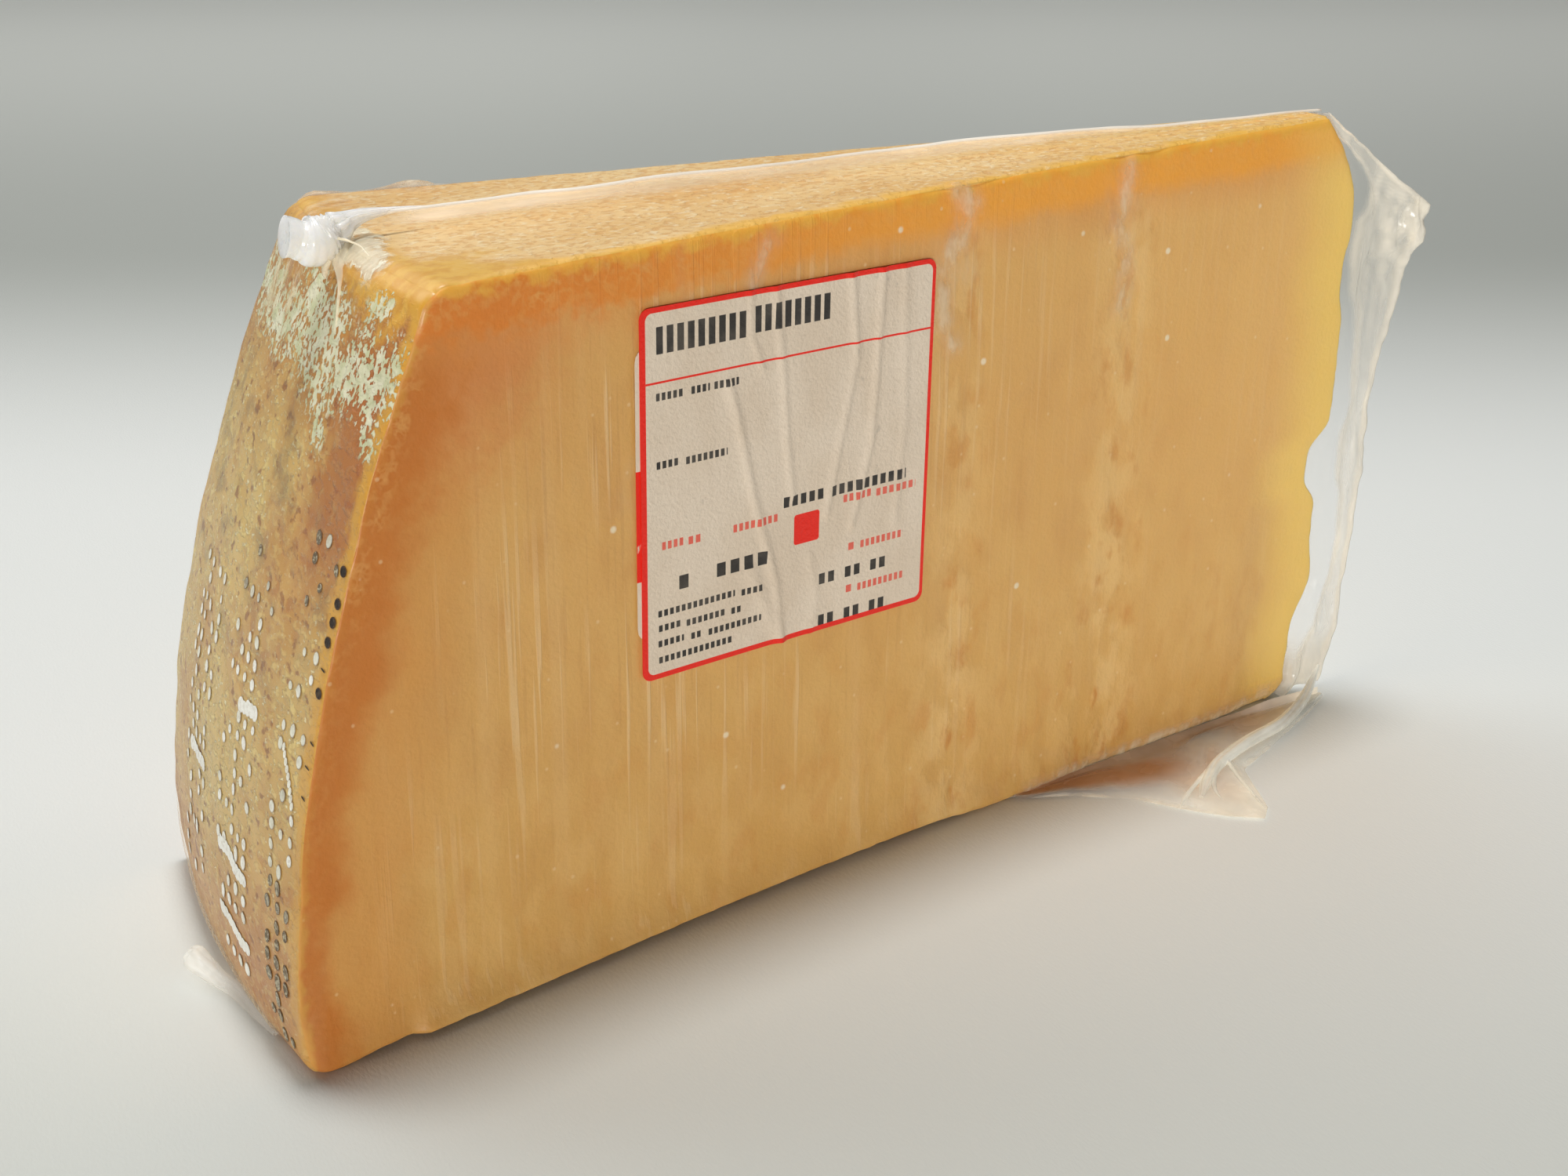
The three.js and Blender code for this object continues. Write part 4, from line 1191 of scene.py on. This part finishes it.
STRANDS = (  # x, y, z, radius along each drawn-out strand of film by the knot
    ((-92.9, -5.0, 118.2, 0.2), (-91.9, -5.7, 118.0, 0.2), (-91.2, -6.2, 117.7, 0.17),
     (-90.5, -7.8, 117.4, 0.16), (-90.4, -9.5, 117.0, 0.14), (-90.3, -11.2, 116.6, 0.06)),
    ((-91.3, 0.2, 116.2, 1.8), (-91.9, -1.9, 114.8, 1.6), (-92.5, -3.8, 113.0, 1.05),
     (-93.3, -5.4, 111.2, 0.4), (-94.1, -6.8, 109.1, 0.36), (-94.8, -8.0, 107.3, 0.3),
     (-95.4, -8.8, 105.6, 0.06)),
    ((-94.0, -4.0, 114.9, 0.3), (-94.7, -3.8, 113.8, 0.5), (-94.9, -3.9, 113.0, 0.5),
     (-94.9, -4.1, 112.3, 0.1)),
)
strands = [rope(f"strand_{turn}", path, 10, (4, 7), 3, 0.2, 4.0) for turn, path in enumerate(STRANDS)]
drawn = joined(strands, "film_strands")
mark(drawn, "haze", 0.62 + 0.36 * smooth(corners_of(drawn)[:, 2] * 1000, 113, 116.5))
drawn.data.materials.append(film_finish("strand_film", 0.05, 3.0, 0.25, (1, 1, 0.3), (255, 244, 216), 0.1))
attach(drawn, "root")


# ------------------------------------------------------------------------------------------------------------
# The pocket of film past the broken thin end. The bag is wider than the cheese there, so its two sides run on
# and meet in a welded edge, which is wrinkled and bunches up near its top.
# ------------------------------------------------------------------------------------------------------------
POCKET_EDGE = (  # x, z
    (110.4, 1.0), (114.0, 13.4), (116.7, 46.4), (118.0, 69.0), (121.7, 81.4), (123.4, 89.6), (126.1, 92.7),
    (126.2, 100.4), (116.9, 106.1), (104.4, 115.4), (98.6, 119.9),
)
POCKET_BUNCH = (96.8, 8.2, 1.6)  # height, reach, swell
POCKET_FOLD = (  # height, share of the way out where the milky part begins
    (1, 0.2), (14, 0.5), (30, 0.62), (56, 0.58), (70, 0.48), (84, 0.3), (98, 0.2), (106, 0.45), (112, 0.5),
    (119, 0.2),
)

pocket = ruled_block("film_tip", ((6, 7), (2,), (12, 12)))
unit = corners_of(pocket)
outward = unit[:, 0] + 0.5
edge_x, edge_z = np.array(POCKET_EDGE).T
high = edge_z[0] + (edge_z[-1] - edge_z[0]) * (unit[:, 2] + 0.5)
inner = AXIS[0] + 0.35 - tip_radius(high) * math.cos(HALF_ANGLE)
outer = np.interp(high, edge_z, edge_x) + 0.35 * wander(high / 3, 4.4, 0) * outward
x = inner + (outer - inner) * outward
bunch = np.exp(-(((high - POCKET_BUNCH[0]) / POCKET_BUNCH[1]) ** 2)) * smooth(outward, 0.25, 0.8)
weld = smooth(outward, 0.86, 0.97)
open_half = tip_radius(high) * math.sin(HALF_ANGLE) + 0.2
half = open_half + (0.14 - open_half) * smooth(outward, 0.0, 0.5) + 0.22 * weld
half += POCKET_BUNCH[2] * bunch * 0.4
folds = wander(x / 2.2, high / 9, 1.5) + 0.6 * wander(x / 1.1, high / 3.2, 8.5)
crush = wander(x / 2.5, high / 2.2, 6.5)
sway = outward * (0.9 * wander(high / 13, 2.2, 0) + 1.3 * wander(high / 31, 8.4, 0))
sway += smooth(outward, 0.1, 0.5) * (0.55 * folds + 1.5 * bunch * crush)
spread = np.where(np.abs(unit[:, 1]) < 0.1, 0.0, np.sign(unit[:, 1]))
move_to(pocket, np.stack([x, AXIS[1] + spread * half + sway, high], axis=-1))
inner_fold = np.interp(high, *np.array(POCKET_FOLD).T) + 0.03 * wander(high / 6, 9.1, 0)
milky = smooth(outward, inner_fold - 0.05, inner_fold + 0.05)
line = np.exp(-(((outward - inner_fold - 0.06) / 0.05) ** 2))
rib = 0.5 + 0.5 * wander(x / 1.6, high / 26, 3.9)
window = bunch * smooth(crush, -0.1, 0.35)
haze = 0.03 + milky * (0.2 + 0.22 * rib) + 0.25 * line + 0.4 * weld + 0.3 * bunch - 0.4 * window
mark(pocket, "haze", np.clip(haze + 0.6 * smooth(14 - high, 0, 10), 0, 1))
pick(pocket)
bpy.ops.object.shade_smooth()
pocket.data.materials.append(film_finish("pocket_film", 0.02, 7.0, 0.25, (1, 1, 0.25), (248, 241, 226)))
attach(pocket, "root")
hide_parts("film_tip")


# ------------------------------------------------------------------------------------------------------------
# The loose corner of the bag that lies in front of the thin end: a thin crumpled sheet that comes from under
# the wedge, drawn to the foot of the pocket by a twisted ribbon of gathered film.
# ------------------------------------------------------------------------------------------------------------
FLAP_EDGE = (  # x, y
    (24.5, -11.3), (35.8, -15.8), (44.0, -21.2), (50.2, -29.4), (56.4, -36.1), (61.6, -40.0), (65.2, -36.6),
    (70.8, -22.9), (89.4, -13.9), (97.6, -9.9), (106.9, -4.4),
)
RIBBON = (  # x, y, z, radius
    (109.5, 0.6, 5.0, 0.3), (102.0, -4.6, 2.2, 1.1), (95.0, -9.0, 1.8, 1.25), (87.2, -13.2, 2.2, 1.3),
    (76.0, -17.0, 2.6, 1.35), (66.0, -21.0, 2.4, 1.3), (60.0, -25.0, 1.9, 1.2), (56.0, -28.4, 1.0, 0.5),
)
PLEATS = (  # x, y, z, radius along the pleats that fan out from the ribbon's end
    ((66.5, -20.6, 2.6, 0.5), (62.0, -24.6, 2.2, 0.6), (59.6, -28.0, 1.5, 0.4), (59.0, -31.0, 0.9, 0.1)),
    ((64.0, -21.4, 2.4, 0.5), (58.0, -24.6, 1.9, 0.5), (53.0, -27.4, 1.2, 0.4), (50.4, -29.4, 0.8, 0.1)),
    ((68.5, -20.0, 2.4, 0.5), (67.0, -25.0, 1.8, 0.45), (65.6, -31.0, 1.1, 0.35), (64.0, -37.6, 0.8, 0.1)),
)

flap = ruled_block("film_foot", ((10, 12), (5, 6), (1,)))
unit = corners_of(flap)
edge_x, edge_y = np.array(FLAP_EDGE).T
x = edge_x[0] + (edge_x[-1] - edge_x[0]) * (unit[:, 0] + 0.5)
outward = 0.5 - unit[:, 1]
foot_y = np.minimum(labelled_face((AXIS[0] - x) / math.cos(HALF_ANGLE), np.zeros(len(x)))[:, 1] - 0.4, -2.6)
outer = np.minimum(np.interp(x, edge_x, edge_y), foot_y - 0.4)
y = foot_y + (outer - foot_y) * outward
crumple = 0.5 * wander(x / 9, y / 8, 4.4) + 0.12 * wander(x / 4, y / 4, 2.4)
lift = np.maximum(0.15, smooth(outward, 0, 0.35) * (0.9 + crumple) * (1 - 0.55 * smooth(outward, 0.8, 1)))
lift += smooth(0.1 - outward, 0, 0.1) * (0.4 + 1.2 * smooth(x, 84, 96))
move_to(flap, np.stack([x, y, 0.08 + lift + (unit[:, 2] + 0.5) * 0.12], axis=-1))
corner = smooth(x, 50, 57) * smooth(76 - x, 0, 8) * smooth(outward, 0.3, 0.5)
edge_line = smooth(outward, 0.86, 0.97) * smooth(x, 26, 34)
broken = smooth(wander(x / 4, 3.3, 0.1), -0.4, 0.1)
# Painted shadow: a brown, milky zone by the wedge's foot, where the shade under the wedge shows through.
dark = smooth(x, 24, 28) * smooth(76 - x, 0, 22) * smooth(0.94 - 0.3 * smooth(x, 32, 62) - outward, 0, 0.36)
# Painted light: a wider zone tinted by warm light bounced off the cheese.
glow = smooth(x, 24, 30) * smooth(106 - x, 0, 24) * smooth(0.95 - outward, 0, 0.6)
hem = smooth(x, 70, 84) * smooth(0.3 - outward, 0, 0.12)
strip = smooth(x, 34, 58) * smooth(0.2 - outward, 0, 0.1)
clear = 0.12 * smooth(x, 40, 50) * smooth(outward, 0.3, 0.5) * smooth(108 - x, 0, 10)
heap = smooth(x, 72, 90) * smooth(0.85 - outward, 0, 0.25)
haze = np.maximum.reduce([
    0.45 * edge_line * broken, corner * (0.55 + 0.2 * wander(x / 5, y / 5, 6.6)), 0.76 * dark, 0.65 * hem,
    clear, 0.7 * strip, 0.8 * heap,
])
mark(flap, "haze", np.clip(haze, 0, 1))
# The second attribute carries the painted shadow and the painted bounce light into the film's colour.
mark(flap, "painted_shade_and_bounce", np.clip(np.maximum(dark * (1 - 0.55 * np.maximum(hem, strip)), 0.5 * glow), 0, 1))
pick(flap)
bpy.ops.object.shade_smooth_by_angle(angle=math.radians(50))
flap.data.materials.append(film_finish("flap_film", 0.01, 8.0, 0.12, (1, 1, 1), (252, 244, 228), 0.07))
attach(flap, "root")
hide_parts("film_foot")

parts = [rope("ribbon_0", RIBBON, 44, (8, 10), 5, 0.22, 9.0)]
parts += [rope(f"ribbon_{turn}", path, 10, (4, 6), 3, 0.2, 3.0) for turn, path in enumerate(PLEATS, 1)]
ribbon = joined(parts, "film_ribbon")
spots = corners_of(ribbon) * 1000
mark(ribbon, "haze", 0.92 - 0.56 * smooth(-spots[:, 1], 22.0, 29.0))
ribbon.data.materials.append(film_finish("ribbon_film", 0.05, 5.0, 0.3, (0.4, 1, 1), (255, 252, 240), 0.05))
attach(ribbon, "root")


# ------------------------------------------------------------------------------------------------------------
# The small gathered end of film at the foot of the rind. It lies on the table along the rind's lower edge
# and thins out towards the labelled face.
# ------------------------------------------------------------------------------------------------------------
HEEL = (  # x, y, z, radius
    (-125.0, 1.0, 4.6, 1.5), (-124.4, 0.2, 4.0, 2.1), (-123.6, -1.6, 3.2, 2.0), (-122.0, -5.5, 2.4, 1.5),
    (-120.4, -9.5, 2.1, 1.3), (-119.2, -15.5, 1.6, 1.0), (-117.8, -22.6, 1.0, 0.4),
)
HEEL_LOWEST = 0.15  # nothing of it lies lower

heel = rope("film_heel", HEEL, 44, (8, 9), 5, 0.14, 5.0, 0.03)
spots = corners_of(heel) * 1000
spots[:, 2] = np.maximum(spots[:, 2], HEEL_LOWEST)
move_to(heel, spots)
mark(heel, "haze", 0.16 + 0.4 * smooth(-117.5 - spots[:, 0], 2.5, 6.0))
heel.data.materials.append(film_finish("heel_film", 0.05, 4.0, 0.4, (1, 0.5, 1), (250, 248, 240), 0.1))
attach(heel, "root")
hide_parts("film_heel")


# ------------------------------------------------------------------------------------------------------------
# Light and camera. A small lamp above, soft daylight from behind, and low fills from the left and the front.
# The wedge stands on a plain pale cloth whose colour holds painted light and shade: darker in a band just
# behind it and nearest the camera, and palest far off.
# ------------------------------------------------------------------------------------------------------------
AWAY = (0.4707, 0.8823, 0.0)  # along the cloth, straight away from the camera

bpy.ops.object.camera_add(location=(-0.1763, -0.2979, 0.1863),
                          rotation=(math.radians(67.62), 0, math.radians(-28.08)))
camera = bpy.context.object
camera.data.lens = 48.0
camera.data.sensor_width = 36.0
camera.data.clip_start = 0.01
bpy.context.scene.camera = camera
bpy.context.scene.view_settings.view_transform = "Standard"

world = bpy.data.worlds.new("surround")
world.use_nodes = True
world.node_tree.nodes["Background"].inputs["Color"].default_value = (0.93, 0.97, 1.0, 1)
world.node_tree.nodes["Background"].inputs["Strength"].default_value = 0.08
bpy.context.scene.world = world

LIGHTS = (  # kind, name, place, size, strength, colour
    ("AREA", "overhead", (0.0, 0.095, 1.2), 0.26, 7.6, (1.0, 0.99, 0.97)),
    ("AREA", "back_left", (-0.6, 0.8, 1.0), 0.8, 2.9, (0.95, 0.98, 1.0)),
    ("SUN", "back", (-0.11, 0.63, 0.77), 60.0, 0.66, (1.0, 0.99, 0.97)),
    ("SUN", "left_fill", (-1.0, 0.1, 0.04), 10.0, 0.36, (0.97, 0.99, 1.0)),
    ("SUN", "front_fill", (-0.46, -0.87, 0.03), 10.0, 2.12, (1.0, 0.98, 0.95)),
)
for kind, name, place, size, strength, colour in LIGHTS:
    bpy.ops.object.light_add(type=kind, location=place)
    lamp = bpy.context.object
    lamp.name = name
    target = Vector((0, 0, 0.05)) if kind == "AREA" else Vector()
    lamp.rotation_euler = (target - Vector(place)).to_track_quat("-Z", "Y").to_euler()
    if kind == "AREA":
        lamp.data.shape = "DISK"
        lamp.data.size = size
    else:
        lamp.data.angle = math.radians(size)
    lamp.data.energy = strength
    lamp.data.color = colour

bpy.ops.object.select_all(action="DESELECT")
bpy.ops.mesh.primitive_plane_add(size=14, location=(0, 0, 0))
floor = bpy.context.object
floor.name = "floor"
cloth, tree, shader = new_finish("backdrop_cloth", {"Roughness": 0.9})
sockets = {0: put(tree, "TexCoord").outputs["Object"], 1: AWAY}
ahead = put(tree, "VectorMath", sockets, operation="DOT_PRODUCT").outputs["Value"]
# Painted light and shade in the cloth's colour, by how far along it: a darker band behind the wedge, palest
# far off, and darker nearest the camera.
colour = layered(
    tree, paint(237, 239, 236),
    (fade(tree, ahead, 0.15, 0.46), (178, 181, 175)),
    (fade(tree, ahead, 0.4, 1.15), (246, 248, 241)),
    (fade(tree, ahead, 0.02, -0.12), (216, 219, 214)),
)
tree.links.new(colour, shader["Base Color"])
tree.links.new(relief_of(tree, cloudy(tree, 0.5, 0.3, 0.7, (1, 0.4, 1), 2.0), 0.018), shader["Normal"])
floor.data.materials.append(cloth)
floor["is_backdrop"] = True

low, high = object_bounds()
